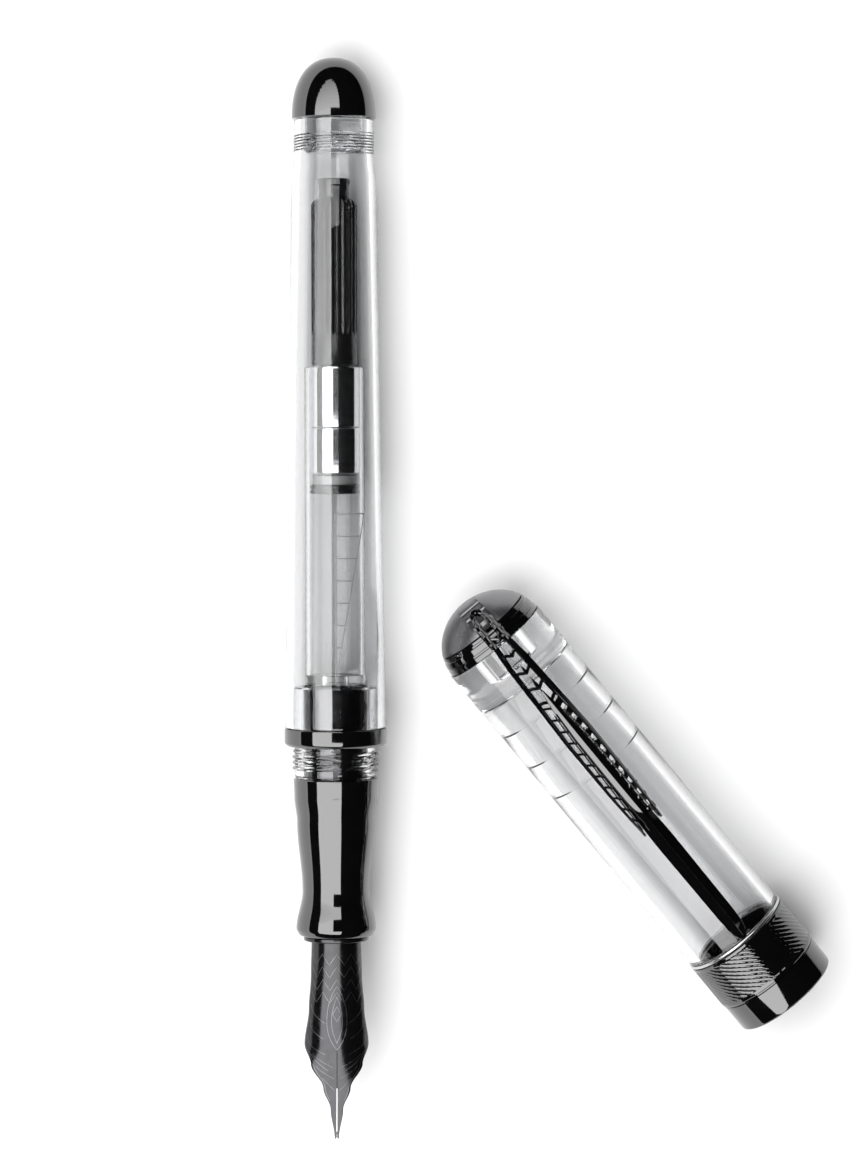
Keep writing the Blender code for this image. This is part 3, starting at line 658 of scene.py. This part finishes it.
def nib_half(bm, side):
    """One half of the nib, from the slit or the middle line out to its edge."""
    columns = 14
    edge = 0.06 * MM
    rows = []
    for part in steps(0, 1, 100):
        station = NIB_TIP + (NIB_TAIL - NIB_TIP) * part**1.2
        slit = 0.07 * MM * min(1.0, max(0.0, (NIB_SLIT_END - station) / (0.5 * MM)))
        middle = slit / max(nib_half_width(station), slit)
        shares = [side * share for share in steps(middle, 1, columns)]
        top = [nib_point(share, station) for share in shares[:-1]]
        top.append(nib_point(shares[-1] * 0.97, station, -0.2 * edge))
        top.append(nib_point(shares[-1], station, -edge))
        under = [nib_point(share, station, -NIB_THICKNESS) for share in shares]
        rows.append(top + under[::-1])
    loft(rows, bm)


def engraved(bm, path, width):
    """A fine raised line over the nib's face through (share, station) points, as its own strip."""
    low, high = -0.03 * MM, 0.012 * MM
    corners = ((-1, low), (-1, high), (1, high), (1, low))
    places = [nib_point(share, station) for share, station in path]
    rows = []
    for index, (here, (_, station)) in enumerate(zip(places, path)):
        ahead = places[min(index + 1, len(places) - 1)] - places[max(index - 1, 0)]
        radius, crown = nib_arch(station)
        normal = (here - Vector((0, station, crown - radius))).normalized()
        across = ahead.cross(normal).normalized() * width / 2
        rows.append([here + hand * across + lift * normal for hand, lift in corners])
    first = len(bm.faces)
    loft(rows, bm)
    bm.faces.ensure_lookup_table()
    for face in bm.faces[first:]:
        face.material_index = 1


def dense(path, spacing=0.35 * MM):
    """A path of (share, station) points with more points along each straight."""
    points = [path[0]]
    for here, after in zip(path, path[1:]):
        length = (nib_point(*here) - nib_point(*after)).length
        for part in steps(0, 1, max(1, round(length / spacing)))[1:]:
            points.append(tuple(start + (end - start) * part for start, end in zip(here, after)))
    return points


def leaf(side, start, edge, reach, bow, length, count):
    """A bowed line from near the nib's edge down towards its middle."""
    arc = []
    for part in steps(0, 1, count):
        share = edge - reach * part + bow * sin(pi * part)
        arc.append((side * share, start - length * part))
    return dense(arc)


def engrave_nib(bm):
    fine = 0.055 * MM
    # Nested zigzags over the upper half
    for row in range(4):
        station = -24.4 * MM - row * 1.5 * MM
        zigzag = [(-0.88 + 0.22 * step, station - 1.3 * MM * (step % 2)) for step in range(9)]
        engraved(bm, dense(zigzag), fine)
    # Two nested lenses, a border line and leaves, on both sides
    top, foot = -28.2 * MM, NIB_SLIT_END - 0.2 * MM
    wings = -35.0 * MM
    lens = (0.3, 0.8, top, foot - top, 16)
    inner = (0.16, 1, top - 1.2 * MM, foot - top + 2 * MM, 14)
    for side in (-1, 1):
        for half, power, start, length, count in (lens, inner):
            arc = []
            for part in steps(0, 1, count):
                arc.append((side * half * sin(pi * part) ** power, start + length * part))
            engraved(bm, dense(arc), fine)
        border = [(side * 0.93, station) for station in steps(-24.0 * MM, wings, 24)]
        for part in steps(0.05, 1, 14):
            border.append((side * (0.93 - 0.1 * part), wings - 7.0 * MM * part))
        engraved(bm, border, fine)
        for row in range(4):
            start = -30.4 * MM - row * 1.9 * MM
            engraved(bm, leaf(side, start, 0.86, 0.5, 0.14, 2.2 * MM, 8), fine)
        for row in range(3):
            start = -36.4 * MM - row * 1.4 * MM
            engraved(bm, leaf(side, start, 0.78, 0.62, 0.12, 1.5 * MM, 6), 0.8 * fine)
    diamond = [(0, -30.6), (0.13, -31.5), (0, -32.4), (-0.13, -31.5), (0, -30.6)]
    engraved(bm, dense([(share, place * MM) for share, place in diamond]), fine)


def make_nib():
    bm = bmesh.new()
    nib_half(bm, -1)
    nib_half(bm, 1)
    engrave_nib(bm)
    piece("nib_plate", bm, PEN, "nib_unit", ["nib"], *ENGRAVED_PLATED, crease=50)


def make_nib_point():
    """The hard ball under the nib's point, drawn out upwards and to the rear."""
    radius = 0.3 * MM
    _, crown = nib_arch(NIB_TIP)
    bm = bmesh.new()
    middle = Vector((0, NIB_TIP + radius, crown - NIB_THICKNESS - radius - 0.03 * MM))
    place = Matrix.Translation(middle)
    bmesh.ops.create_icosphere(bm, subdivisions=4, radius=radius, matrix=place)
    for vertex in bm.verts:
        off = vertex.co - middle
        vertex.co.z = middle.z + off.z * (1.0 if off.z < 0 else 1.25)
        vertex.co.y = middle.y + off.y * (1.0 if off.y < 0 else 1.5)
    piece("nib_point", bm, PEN, "nib_unit", ["nib_tipping"], *STEEL)


def make_feed():
    fin_start, fin_step, fins = -24.7 * MM, 0.75 * MM, 13
    columns = 48
    widths = mm((-40.5, 0.75), (-33.0, 2.1), (-24.0, 2.7))
    drops = mm((-40.5, 0.6), (-33.0, 3.6), (-24.0, 5.4))
    rows = []
    for station in steps(FEED_FRONT, FEED_REAR, 340):
        radius = between(widths, station)
        drop = between(drops, station)
        _, crown = nib_arch(station)
        roof = min(crown - NIB_THICKNESS - 0.12 * MM, FEED_RADIUS)
        wound = (fin_start - station) / fin_step
        slot = 0 < wound < fins and wound % 1 > 0.55
        row = []
        for column in range(columns):
            angle = 2 * pi * column / columns
            deep = 0.72 if slot and sin(angle) < -0.15 else 1.0
            height = roof - drop / 2 + deep * drop / 2 * sin(angle)
            row.append((deep * radius * cos(angle), station, height))
        rows.append(row)
    piece("feed_body", loft(rows), PEN, "nib_unit", ["feed"], *BLACK_PLASTIC)


# --- converter ---


def make_chamber():
    nozzle, bore = 2.35 * MM, 1.2 * MM
    front, floor = -1.0 * MM, CHAMBER_FRONT + MM
    outline = [(bore, front), (nozzle - 0.1 * MM, front), (nozzle, front + 0.6 * MM)]
    outline += [(nozzle, CHAMBER_FRONT), (CHAMBER_RADIUS, CHAMBER_FRONT)]
    outline += [(CHAMBER_RADIUS, CHAMBER_REAR), (CHAMBER_BORE, CHAMBER_REAR)]
    outline += [(CHAMBER_BORE, floor), (bore, floor)]
    outline = rounded(outline, 0.08 * MM)
    turned("ink_chamber", outline, PEN, "converter", "converter_tube", *CHAMBER)


def chamber_point(across, station, lift):
    reach = CHAMBER_RADIUS + lift
    angle = asin(across / CHAMBER_RADIUS)
    return Vector((reach * sin(angle), station, reach * cos(angle)))


def printed(bm, start, end, width):
    """A printed line on the chamber between two (across, station) places."""
    low, high = 0.004 * MM, 0.03 * MM
    run = Vector(end) - Vector(start)
    side = Vector((-run.y, run.x)).normalized() * width / 2
    rows = []
    for part in steps(0, 1, 24):
        here = Vector(start) + run * part
        left, right = here - side, here + side
        corners = ((left, low), (left, high), (right, high), (right, low))
        rows.append([chamber_point(place.x, place.y, lift) for place, lift in corners])
    loft(rows, bm)


def make_scale():
    """The ink scale on the chamber: an upright, a slope and ticks between them."""
    left, right = -0.05 * MM, 3.3 * MM
    width = 0.09 * MM
    bm = bmesh.new()
    printed(bm, (left, SCALE_FRONT), (left, SCALE_REAR), width)
    printed(bm, (left, SCALE_FRONT), (right, SCALE_REAR), width)
    station = SCALE_REAR
    while station > SCALE_FRONT + SCALE_STEP:
        reach = left + (right - left) * (station - SCALE_FRONT) / (SCALE_REAR - SCALE_FRONT)
        printed(bm, (left, station), (reach, station), 1.5 * width)
        station -= SCALE_STEP
    piece("ink_scale", bm, PEN, "converter", [], *PRINT)


def make_sleeves():
    seam, edge = 0.05 * MM, 0.14 * MM
    outline = tube(2.95 * MM, 1.5 * MM, SLEEVE_FRONT, SLEEVE_SPLIT - seam, edge)
    turned("sleeve_front", outline, PEN, "converter", "converter_sleeve_front", *CHROME)
    outline = tube(2.9 * MM, 2.4 * MM, SLEEVE_SPLIT + seam, CHAMBER_REAR, edge)
    turned("sleeve_rear", outline, PEN, "converter", "converter_sleeve_rear", *CHROME)


def make_knob():
    bore = 1.6 * MM
    flute_end, fade = 48.5 * MM, 0.5 * MM
    chamfer = 0.7 * MM

    def relief(angle, radius, station):
        if radius < KNOB_RADIUS - ON_SURFACE or station < flute_end:
            return radius, station
        wave = 0.5 + 0.5 * cos(KNOB_FLUTES * angle)
        start = min(1.0, (station - flute_end) / fade)
        return radius - 0.2 * MM * start * wave**2.5, station

    outline = [(bore, KNOB_FRONT)] + near(KNOB_RADIUS, KNOB_FRONT, (-0.1, 0), (0, 0.1))
    outline += near(KNOB_RADIUS, flute_end, (0, -0.35), (-0.06, -0.2))
    outline += line(KNOB_RADIUS, flute_end, flute_end + fade, 4)
    outline += line(KNOB_RADIUS, flute_end + MM, KNOB_REAR - chamfer, 16)
    outline.append((KNOB_RADIUS - 0.4 * chamfer, KNOB_REAR - 0.3 * chamfer))
    outline += [(KNOB_RADIUS - chamfer, KNOB_REAR), (bore, KNOB_REAR)]
    shape = {"sides": KNOB_FLUTES * 10, "relief": relief}
    turned("piston_knob", outline, PEN, "converter_knob", "converter_knob", *BLACK_PLASTIC, **shape)


def make_stub():
    """The stub at the knob's end, and the nut that the knob turns inside the rear sleeve."""
    spigot, neck = 1.5 * MM, STUB_RADIUS - 0.12 * MM
    root, foot, rear = KNOB_REAR - 2 * MM, KNOB_REAR + GAP, STUB_REAR
    stub = [(0, root), (spigot, root), (spigot, foot), (neck, foot), (neck, rear - 0.8 * MM)]
    stub += near(STUB_RADIUS, rear, (0, -0.3), (-0.1, 0))
    stub += near(0, rear, (0.9, 0), (0.75, -0.2), (0, -0.2))
    stub = rounded(stub, 0.08 * MM)
    turned("knob_stub", stub, PEN, "converter_knob", "converter_knob_cap", *BLACK_PLASTIC, sides=96)
    nut = tube(2.3 * MM, 1.4 * MM, SLEEVE_SPLIT + 0.9 * MM, CHAMBER_REAR + 0.15 * MM)
    turned("drive_nut", nut, PEN, "converter_knob", "converter_drive_nut", *CHROME, sides=96)


def make_piston():
    front, rear = 32.05 * MM, 62.2 * MM
    radius, chamfer = 1.3 * MM, 0.1 * MM
    thread = (front + 6 * MM, 8, 2.625 * MM, -0.15 * MM, 0.2)
    outline = [(0, front), (radius - chamfer, front)]
    outline += line(radius, front + chamfer, rear - chamfer, 150)
    outline += [(radius - chamfer, rear), (0, rear)]
    shape = {"sides": 48, "relief": threaded(radius, front, rear, *thread)}
    turned("screw_rod", outline, PEN, "piston", "piston_rod", *WHITE_PLASTIC, **shape)

    face, neck, rear = PISTON_FACE + 0.4 * MM, 30.9 * MM, 31.95 * MM
    stem, flange = 1.2 * MM, 2.6 * MM
    head = [(0, face), (stem, face), (stem, neck), (flange, neck), (flange, rear), (0, rear)]
    head = rounded(head, 0.1 * MM)
    turned("piston_core", head, PEN, "piston", "piston_head", *GREY_PLASTIC, sides=96)

    seal = near(0, PISTON_FACE, (1.3, 0), (2.75, 0), (2.97, 0.15), (2.97, 0.3), (2.8, 0.5))
    seal += near(0, neck - 0.05 * MM, (2.97, -0.3), (2.97, -0.12), (2.75, 0), (1.3, 0))
    seal = rounded(seal, 0.06 * MM)
    turned("seal_ring", seal, PEN, "piston", "piston_seal", *RUBBER, sides=96)


# --- cap ---


def make_cap_bead():
    start = BAND_LENGTH + GAP
    end = start + BEAD_LENGTH
    inside = CAP_SPIGOT_RADIUS + GAP
    bulge = 0.14 * MM
    outline = [(inside, start), (BEAD_RADIUS - bulge, start)]
    for part in steps(-1, 1, 6):
        angle = part * pi / 2.4
        reach = BEAD_RADIUS - bulge * (1 - cos(angle))
        outline.append((reach, start + BEAD_LENGTH * (0.5 + 0.48 * sin(angle))))
    outline += [(BEAD_RADIUS - bulge, end), (inside, end)]
    turned("bead_ring", outline, CAP, "cap_bead", "cap_bead_ring", *BRIGHT_PLATED)


def make_cap_tube():
    """The cap's clear body: a deep bore with three ring grooves, closed by a thick end."""
    mouth = 0.6 * MM
    shoulder = BAND_LENGTH + BEAD_LENGTH + 2 * GAP
    rear = CAP_TUBE_REAR - GAP
    hole = CAP_PLUG_RADIUS + GAP
    floor = CAP_PLUG_FRONT - GAP
    thread = (mouth + 0.5 * MM, 3, COLLAR_PITCH, 0.18 * MM)
    thread_end = 4 * MM
    depth, reach = 0.07 * MM, 0.3 * MM

    def relief(angle, radius, station):
        if abs(radius - CAP_BORE) > 0.1 * ON_SURFACE:
            return radius, station
        if station < thread_end:
            return radius - thread_rise(angle, station, *thread), station
        nearest = min(reach, *(abs(station - middle) for middle in CAP_GROOVES))
        return radius + depth * (0.5 + 0.5 * cos(pi * nearest / reach)), station

    corners = [(CAP_BORE, mouth), (CAP_SPIGOT_RADIUS, mouth), (CAP_SPIGOT_RADIUS, shoulder)]
    corners += [(CAP_TUBE_RADIUS, shoulder), (CAP_TUBE_RADIUS, rear), (hole, rear)]
    outline = rounded(corners, 0.1 * MM)
    outline += near(hole, floor, (0, 0.3), (-0.3, 0)) + [(0, floor), (0, CAP_BORE_END)]
    outline += near(CAP_BORE, CAP_BORE_END, (-0.5, 0), (-0.15, -0.12), (0, -0.45))
    for middle in reversed(CAP_GROOVES):
        outline += [(CAP_BORE, middle - off * 0.06 * MM) for off in range(-5, 6)]
    outline += line(CAP_BORE, thread_end, mouth + 0.2 * MM, 50)
    turned("cap_shell", outline, CAP, "cap", "cap_tube", *CLEAR, relief=relief)


def make_band():
    """The band: a hatched upper part, a groove under it and a plain rounded lip at the mouth."""
    inside = CAP_SPIGOT_RADIUS + GAP
    lip = 0.5 * MM
    low, high = BAND_STEP + 0.35 * MM, BAND_LENGTH - 0.35 * MM
    starts, spacing, depth, fade = 48, 0.6 * MM, 0.08 * MM, 0.12 * MM

    def relief(angle, radius, station):
        if radius < BAND_RADIUS - 0.5 * ON_SURFACE or not low < station < high:
            return radius, station
        height = station / spacing + starts * angle / (2 * pi)
        ridge = abs(height % 1 - 0.5) * 2
        edge = min(1.0, (station - low) / fade, (high - station) / fade)
        return radius - depth * edge * min(1.0, 2.2 * (1 - ridge)), station

    outline = [(RIM_BORE, lip)] + near(RIM_BORE, 0, (0, 0.15), (0.15, 0))
    outline += near(RIM_RADIUS, 0, (-0.45, 0), (-0.2, 0.06), (-0.05, 0.22), (0, 0.5))
    outline += near(RIM_RADIUS, BAND_STEP, (0, -0.35), (-0.12, -0.25), (-0.12, -0.1))
    outline += near(BAND_RADIUS, BAND_STEP, (-0.05, -0.04))
    outline += line(BAND_RADIUS, BAND_STEP + 0.04 * MM, BAND_LENGTH - 0.05 * MM, 80)
    outline += [(BAND_RADIUS - 0.05 * MM, BAND_LENGTH), (inside, BAND_LENGTH), (inside, lip)]
    shape = {"sides": 480, "relief": relief}
    turned("cap_band_hatched", outline, CAP, "cap", "cap_band", *GLOSS_BLACK, **shape)


def dome_radius(station):
    """Outer radius of the cap's rounded end, from the tube's end to its tip."""
    share = (station - CAP_TUBE_REAR) / (CAP_REAR - CAP_TUBE_REAR)
    return CAP_END_RADIUS * sqrt(max(0.0, 1 - share * share))


def clip_top(station):
    """Height of the clip's outer face above the cap's axis, from its tip over the dome to its head."""
    points = near(CLIP_TIP, 0, (0, 7.45), (5.0, 7.7)) + near(CAP_TUBE_REAR, 0, (-9.0, 8.05))
    points += near(CAP_TUBE_REAR, 0, (0, 7.5), (1.5, 6.75), (3.0, 5.75), (4.2, 4.5))
    return between([*points, (CLIP_HEAD, 3.3 * MM)], station)


def slot_cutter():
    """The channel for the clip's head, as a block whose floor follows the clip's underside."""
    reach, roof = 1.4 * MM, 9 * MM
    rows = []
    for station in steps(CAP_TUBE_REAR - MM, CAP_REAR + MM, 60):
        under = min(max(station, CAP_TUBE_REAR + 0.01 * MM), CLIP_HEAD)
        floor = clip_top(under) - CLIP_THICKNESS - 0.85 * MM
        if station > CAP_TUBE_REAR + CLIP_RING_LENGTH:
            floor = min(floor, dome_radius(station) - 0.9 * MM)
        corners = ((-reach, floor), (-reach, roof), (reach, roof), (reach, floor))
        rows.append([(across, station, height) for across, height in corners])
    bm = loft(rows)
    bmesh.ops.recalc_face_normals(bm, faces=bm.faces)
    made = add_mesh("slot", bm, CAP)
    bpy.context.view_layer.update()
    return made


def make_clip_ring():
    """The ring that holds the clip, flush with the dome, with two fine grooves."""
    start = CAP_TUBE_REAR
    bore = CAP_PLUG_RADIUS + GAP
    groove = 0.11 * MM
    outline = [(bore, start), (dome_radius(start), start)]
    profile = ((0.5, 0), (0.58, 1), (0.76, 1), (0.84, 0), (1.5, 0), (1.58, 1), (1.76, 1), (1.84, 0))
    for off, deep in (*profile, (2.1, 0)):
        outline.append((dome_radius(start + off * MM) - deep * groove, start + off * MM))
    outline.append((bore, start + CLIP_RING_LENGTH - GAP))
    ring = turned("clip_carrier", outline, CAP, "cap", "clip_ring", *GLOSS_BLACK)
    cut(ring, slot_cutter())


def make_cap_dome():
    start = CAP_TUBE_REAR + CLIP_RING_LENGTH
    bore = CAP_PLUG_RADIUS + GAP
    height = CAP_REAR - CAP_TUBE_REAR
    outline = [(dome_radius(start) - 0.12 * MM, start)]
    outline.append((dome_radius(start + 0.1 * MM), start + 0.1 * MM))
    first = asin((CLIP_RING_LENGTH + 0.25 * MM) / height)
    for angle in steps(first, 0.5 * pi, 30)[:-1]:
        station = CAP_TUBE_REAR + height * sin(angle)
        outline.append((dome_radius(station), station))
    outline += [(0, CAP_REAR), (0, CAP_DOME_FLOOR), (bore, CAP_DOME_FLOOR), (bore, start)]
    dome = turned("cap_finial", outline, CAP, "cap", "cap_dome", *GUNMETAL)
    cut(dome, slot_cutter())


def make_dome_plug():
    radius, front, rear = CAP_PLUG_RADIUS, CAP_PLUG_FRONT, CAP_DOME_FLOOR - GAP
    plug = rounded([(0, front), (radius, front), (radius, rear), (0, rear)], 0.2 * MM)
    turned("dome_plug", plug, CAP, "cap", "cap_dome_plug", *CLEAR, sides=96)


# --- clip ---


def clip_half_width(station):
    """Half the clip's width over its openings, up to its head."""
    profile = mm((28.1, 1.62), (30.5, 1.75), (34.0, 1.88), (42.0, 1.95), (47.0, 1.77))
    profile += mm((53.0, 1.55), (55.7, 1.3), (60.9, 1.2))
    return straight(profile, station)


def strip(bm, path, section):
    """A bar over the clip's face. path is (across, station, half width) points; section(half) gives
    its outline as (across, height) points under the clip's top."""
    rows = []
    for index, (across, station, half) in enumerate(path):
        before, after = path[max(index - 1, 0)], path[min(index + 1, len(path) - 1)]
        run = Vector((after[0] - before[0], after[1] - before[1])).normalized()
        top = clip_top(station)
        row = []
        for off, height in section(half):
            row.append((across + run.y * off, station - run.x * off, top + height))
        rows.append(row)
    loft(rows, bm)


def bar_section(half, eave, flat, top):
    foot = -CLIP_THICKNESS
    return [(-half, foot), (-half, eave), (-flat, top), (flat, top), (half, eave), (half, foot)]


def ridge_section(half):
    """A bar with a ridge: steep sides that keep it dark from above."""
    return bar_section(half, -0.75 * half - 0.03 * MM, 0.12 * half, 0)


def low_section(half):
    """A cross-bar that lies a little under the rails."""
    return bar_section(half, -0.34 * MM, 0.4 * half, -0.2 * MM)


def keel_flat(station):
    """Half the width of the flat along the keel's top, which runs out to a point."""
    profile = mm((29.5, 0.02), (34.0, 0.16), (41.0, 0.26), (46.0, 0.16), (48.6, 0.04))
    return straight(profile, station)


def keel_half(station):
    """Half the keel's width: tip, plain part, and a taper between the vanes."""
    profile = mm((10.3, 0.3), (10.9, 0.72), (12.2, 1.0), (14.0, 1.1), (26.0, 1.2), (28.5, 1.12))
    profile += mm((34.0, 0.95), (42.0, 0.78), (46.0, 0.52), (48.8, 0.12))
    return straight(profile, station)


def make_keel(bm):
    round_off = 0.1 * MM
    dip = [(CLIP_TIP, 0.75 * MM), (CLIP_TIP + 2.6 * MM, 0.0)]
    rows = []
    for station in steps(CLIP_TIP, CLIP_KEEL_END, 150):
        half = keel_half(station)
        flat = min(keel_flat(station), 0.6 * half)
        top = clip_top(station) + 0.12 * MM - between(dip, station)
        foot = clip_top(station) - CLIP_THICKNESS - 0.1 * MM
        eave = max(top - 0.66 * (half - flat), foot + 0.12 * MM)
        side = [(0.8 * half, foot), (half, foot + round_off), (half, eave - 0.02 * MM)]
        side += [(0.93 * half, eave + 0.04 * MM), (flat, top - 0.02 * MM)]
        row = [(-across, station, height) for across, height in side]
        row.append((0, station, top))
        row += [(across, station, height) for across, height in reversed(side)]
        rows.append(row)
    loft(rows, bm)


def make_rails(bm):
    """The clip's two edges beside its openings, the right one a little thicker."""
    lefts = mm((28.1, 0.15), (35.0, 0.19), (43.0, 0.26), (53.0, 0.32), (57.0, 0.34), (58.2, 0.4))
    rights = mm((28.1, 0.16), (35.0, 0.21), (43.0, 0.28), (48.0, 0.42), (53.0, 0.45))
    rights += mm((57.0, 0.38), (58.2, 0.4))
    left, right = [], []
    for station in steps(CLIP_VANES_END - 0.5 * MM, CLIP_HEAD_ROOT + 0.4 * MM, 110):
        edge = clip_half_width(station)
        half = straight(lefts, station)
        left.append((-edge + half, station, half))
        if station > CLIP_VANES_END:
            half = straight(rights, station)
            right.append((edge - half, station, half))
    strip(bm, left, ridge_section)
    strip(bm, right, ridge_section)


def make_head(bm):
    """The clip's head: a thick rim that bends round the first, drop-shaped opening."""
    across, along, half = 0.83 * MM, 2.2 * MM, 0.38 * MM
    rim = []
    for angle in steps(0, pi, 28):
        rim.append((across * cos(angle), CLIP_HEAD_ROOT + along * sin(angle), half))
    strip(bm, rim, ridge_section)


def make_chevrons(bm):
    """Cross-bars that sag towards the tip, with a short blade up from all but the first."""
    drop, half = 0.7 * MM, 0.19 * MM
    for cell, place in enumerate((56.7, 54.2, 51.6, 49.3, 47.2)):
        station = place * MM
        inner = clip_half_width(station) - 0.4 * MM
        chevron = []
        for share, rise in ((-1, 0.75), (-0.5, 0.4), (0, -0.2), (0.5, 0.4), (1, 0.75)):
            chevron.append((share * inner, station + rise * drop, half))
        strip(bm, chevron, low_section)
        if cell > 0:
            length, root = 0.55 * MM * cell, (0.08 + 0.06 * cell) * MM
            blade = []
            for part in steps(0, 1, 4):
                blade.append((0, station + part * length, 0.03 * MM + root * (1 - part)))
            strip(bm, blade, ridge_section)


def make_barbs(bm):
    """Slanted bars from the keel to the rails, thin on the left and wide on the right, and a thin
    wire along each side of the keel."""
    pitch, wide = 1.69 * MM, 0.56
    station = 46.6 * MM
    while station > CLIP_VANES_END + 0.6 * MM:
        outer = clip_half_width(station)
        inner = keel_half(station) - 0.1 * MM
        middle = (outer + inner) / 2
        left = ((0.15 * MM - outer, 0.55, 0.13), (-middle, 0.25, 0.14), (-inner, -0.25, 0.15))
        right = ((outer - 0.42 * MM, 0.45, wide), (middle, 0.15, wide), (inner, -0.15, wide))
        for barb in (left, right):
            path = [(across, station + rise * MM, half * MM) for across, rise, half in barb]
            strip(bm, path, low_section)
        station -= pitch
    for side, gap in ((-1, 0.16 * MM), (1, 0.12 * MM)):
        wire = []
        for station in steps(CLIP_VANES_END + 0.3 * MM, 45.5 * MM, 50):
            wire.append((side * (keel_half(station) + gap), station, 0.075 * MM))
        strip(bm, wire, ridge_section)


def make_clip():
    bm = bmesh.new()
    make_keel(bm)
    make_rails(bm)
    make_head(bm)
    make_chevrons(bm)
    make_barbs(bm)
    piece("clip_openwork", bm, CAP, "clip", ["clip"], *GLOSS_BLACK, crease=28)


# --- floor, light and camera ---


def make_floor():
    reach, squares = 3.0, 40
    level = Matrix.Translation((0, 0, -0.02 * MM))
    bm = bmesh.new()
    bmesh.ops.create_grid(bm, x_segments=squares, y_segments=squares, size=reach, matrix=level)
    floor = Finish("floor_paper", grey(0.96), 0.9, Specular_IOR_Level=0.1)
    tooth = floor.noise(floor.stretched([0.6 * MM] * 3), 4.0)
    floor.vary_colour(tooth, grey(0.95), grey(0.965))
    add_mesh("floor", bm, Matrix(), floor.material)


def panel(name, low, high, height, radiance):
    """A flat soft light that faces down, from its low to its high (x, y) corner."""
    lamp = bpy.data.lights.new(name, "AREA")
    lamp.shape = "RECTANGLE"
    lamp.size = high[0] - low[0]
    lamp.size_y = high[1] - low[1]
    lamp.energy = pi * radiance * lamp.size * lamp.size_y
    middle = ((low[0] + high[0]) / 2, (low[1] + high[1]) / 2, height)
    add_object(name, lamp, Matrix.Translation(middle))


def make_light():
    """One large softbox above and to the left, with a dark patch where the camera stands. It is built
    from flat panels, each between two angles from straight above the pen, across and along it."""
    height = 0.6
    bright = 4.4

    def softbox(name, across, along, radiance):
        corners = []
        for side, way in zip(across, along):
            x, y = (height * tan(radians(angle)) for angle in (side, way))
            corners.append((PEN.translation.x + x, PEN.translation.y + y))
        panel(name, *corners, height, radiance)

    softbox("softbox_front", (-58.5, 9.5), (-52, -6), bright)
    softbox("softbox_left", (-58.5, -14.5), (-6, 18), bright)
    # The rear end is rounded and fades, so it is made of rows
    rows, start, depth, middle, half = 9, 18, 38, -24.5, 34
    for row in range(rows):
        along = (start + depth * row / rows, start + depth * (row + 1) / rows)
        share = (row + 0.5) / rows
        reach = half * sqrt(1 - share**2.4)
        across = (middle - reach, middle + reach)
        softbox(f"softbox_rear_{row}", across, along, (0.9 - 0.5 * share) * bright)
    world = bpy.data.worlds.new("studio")
    world.use_nodes = True
    world.node_tree.nodes["Background"].inputs["Color"].default_value = (*grey(0.006), 1)
    bpy.context.scene.world = world
    bpy.context.scene.view_settings.view_transform = "Standard"


def make_camera():
    place = Vector((-75.24 * MM, 25.2 * MM, 450 * MM))
    aim = Vector((-14.47 * MM, 1.44 * MM, 0))
    lens = bpy.data.cameras.new("camera")
    lens.lens = 116.4
    lens.sensor_width = 36
    lens.clip_start = 0.01
    ahead = (aim - place).normalized()
    side = ahead.cross(Vector((0, 1, 0))).normalized()
    basis = Matrix((side, side.cross(ahead), -ahead)).transposed()
    made = add_object("camera", lens, Matrix.Translation(place) @ basis.to_4x4())
    bpy.context.scene.camera = made


make_camera()
make_barrel()
make_end_dome()
make_end_plug()
make_trim_ring()
make_collar()
make_socket()
make_grip()
make_nib()
make_nib_point()
make_feed()
make_chamber()
make_scale()
make_sleeves()
make_knob()
make_stub()
make_piston()
make_cap_bead()
make_cap_tube()
make_band()
make_clip_ring()
make_cap_dome()
make_dome_plug()
make_clip()
make_floor()
make_light()
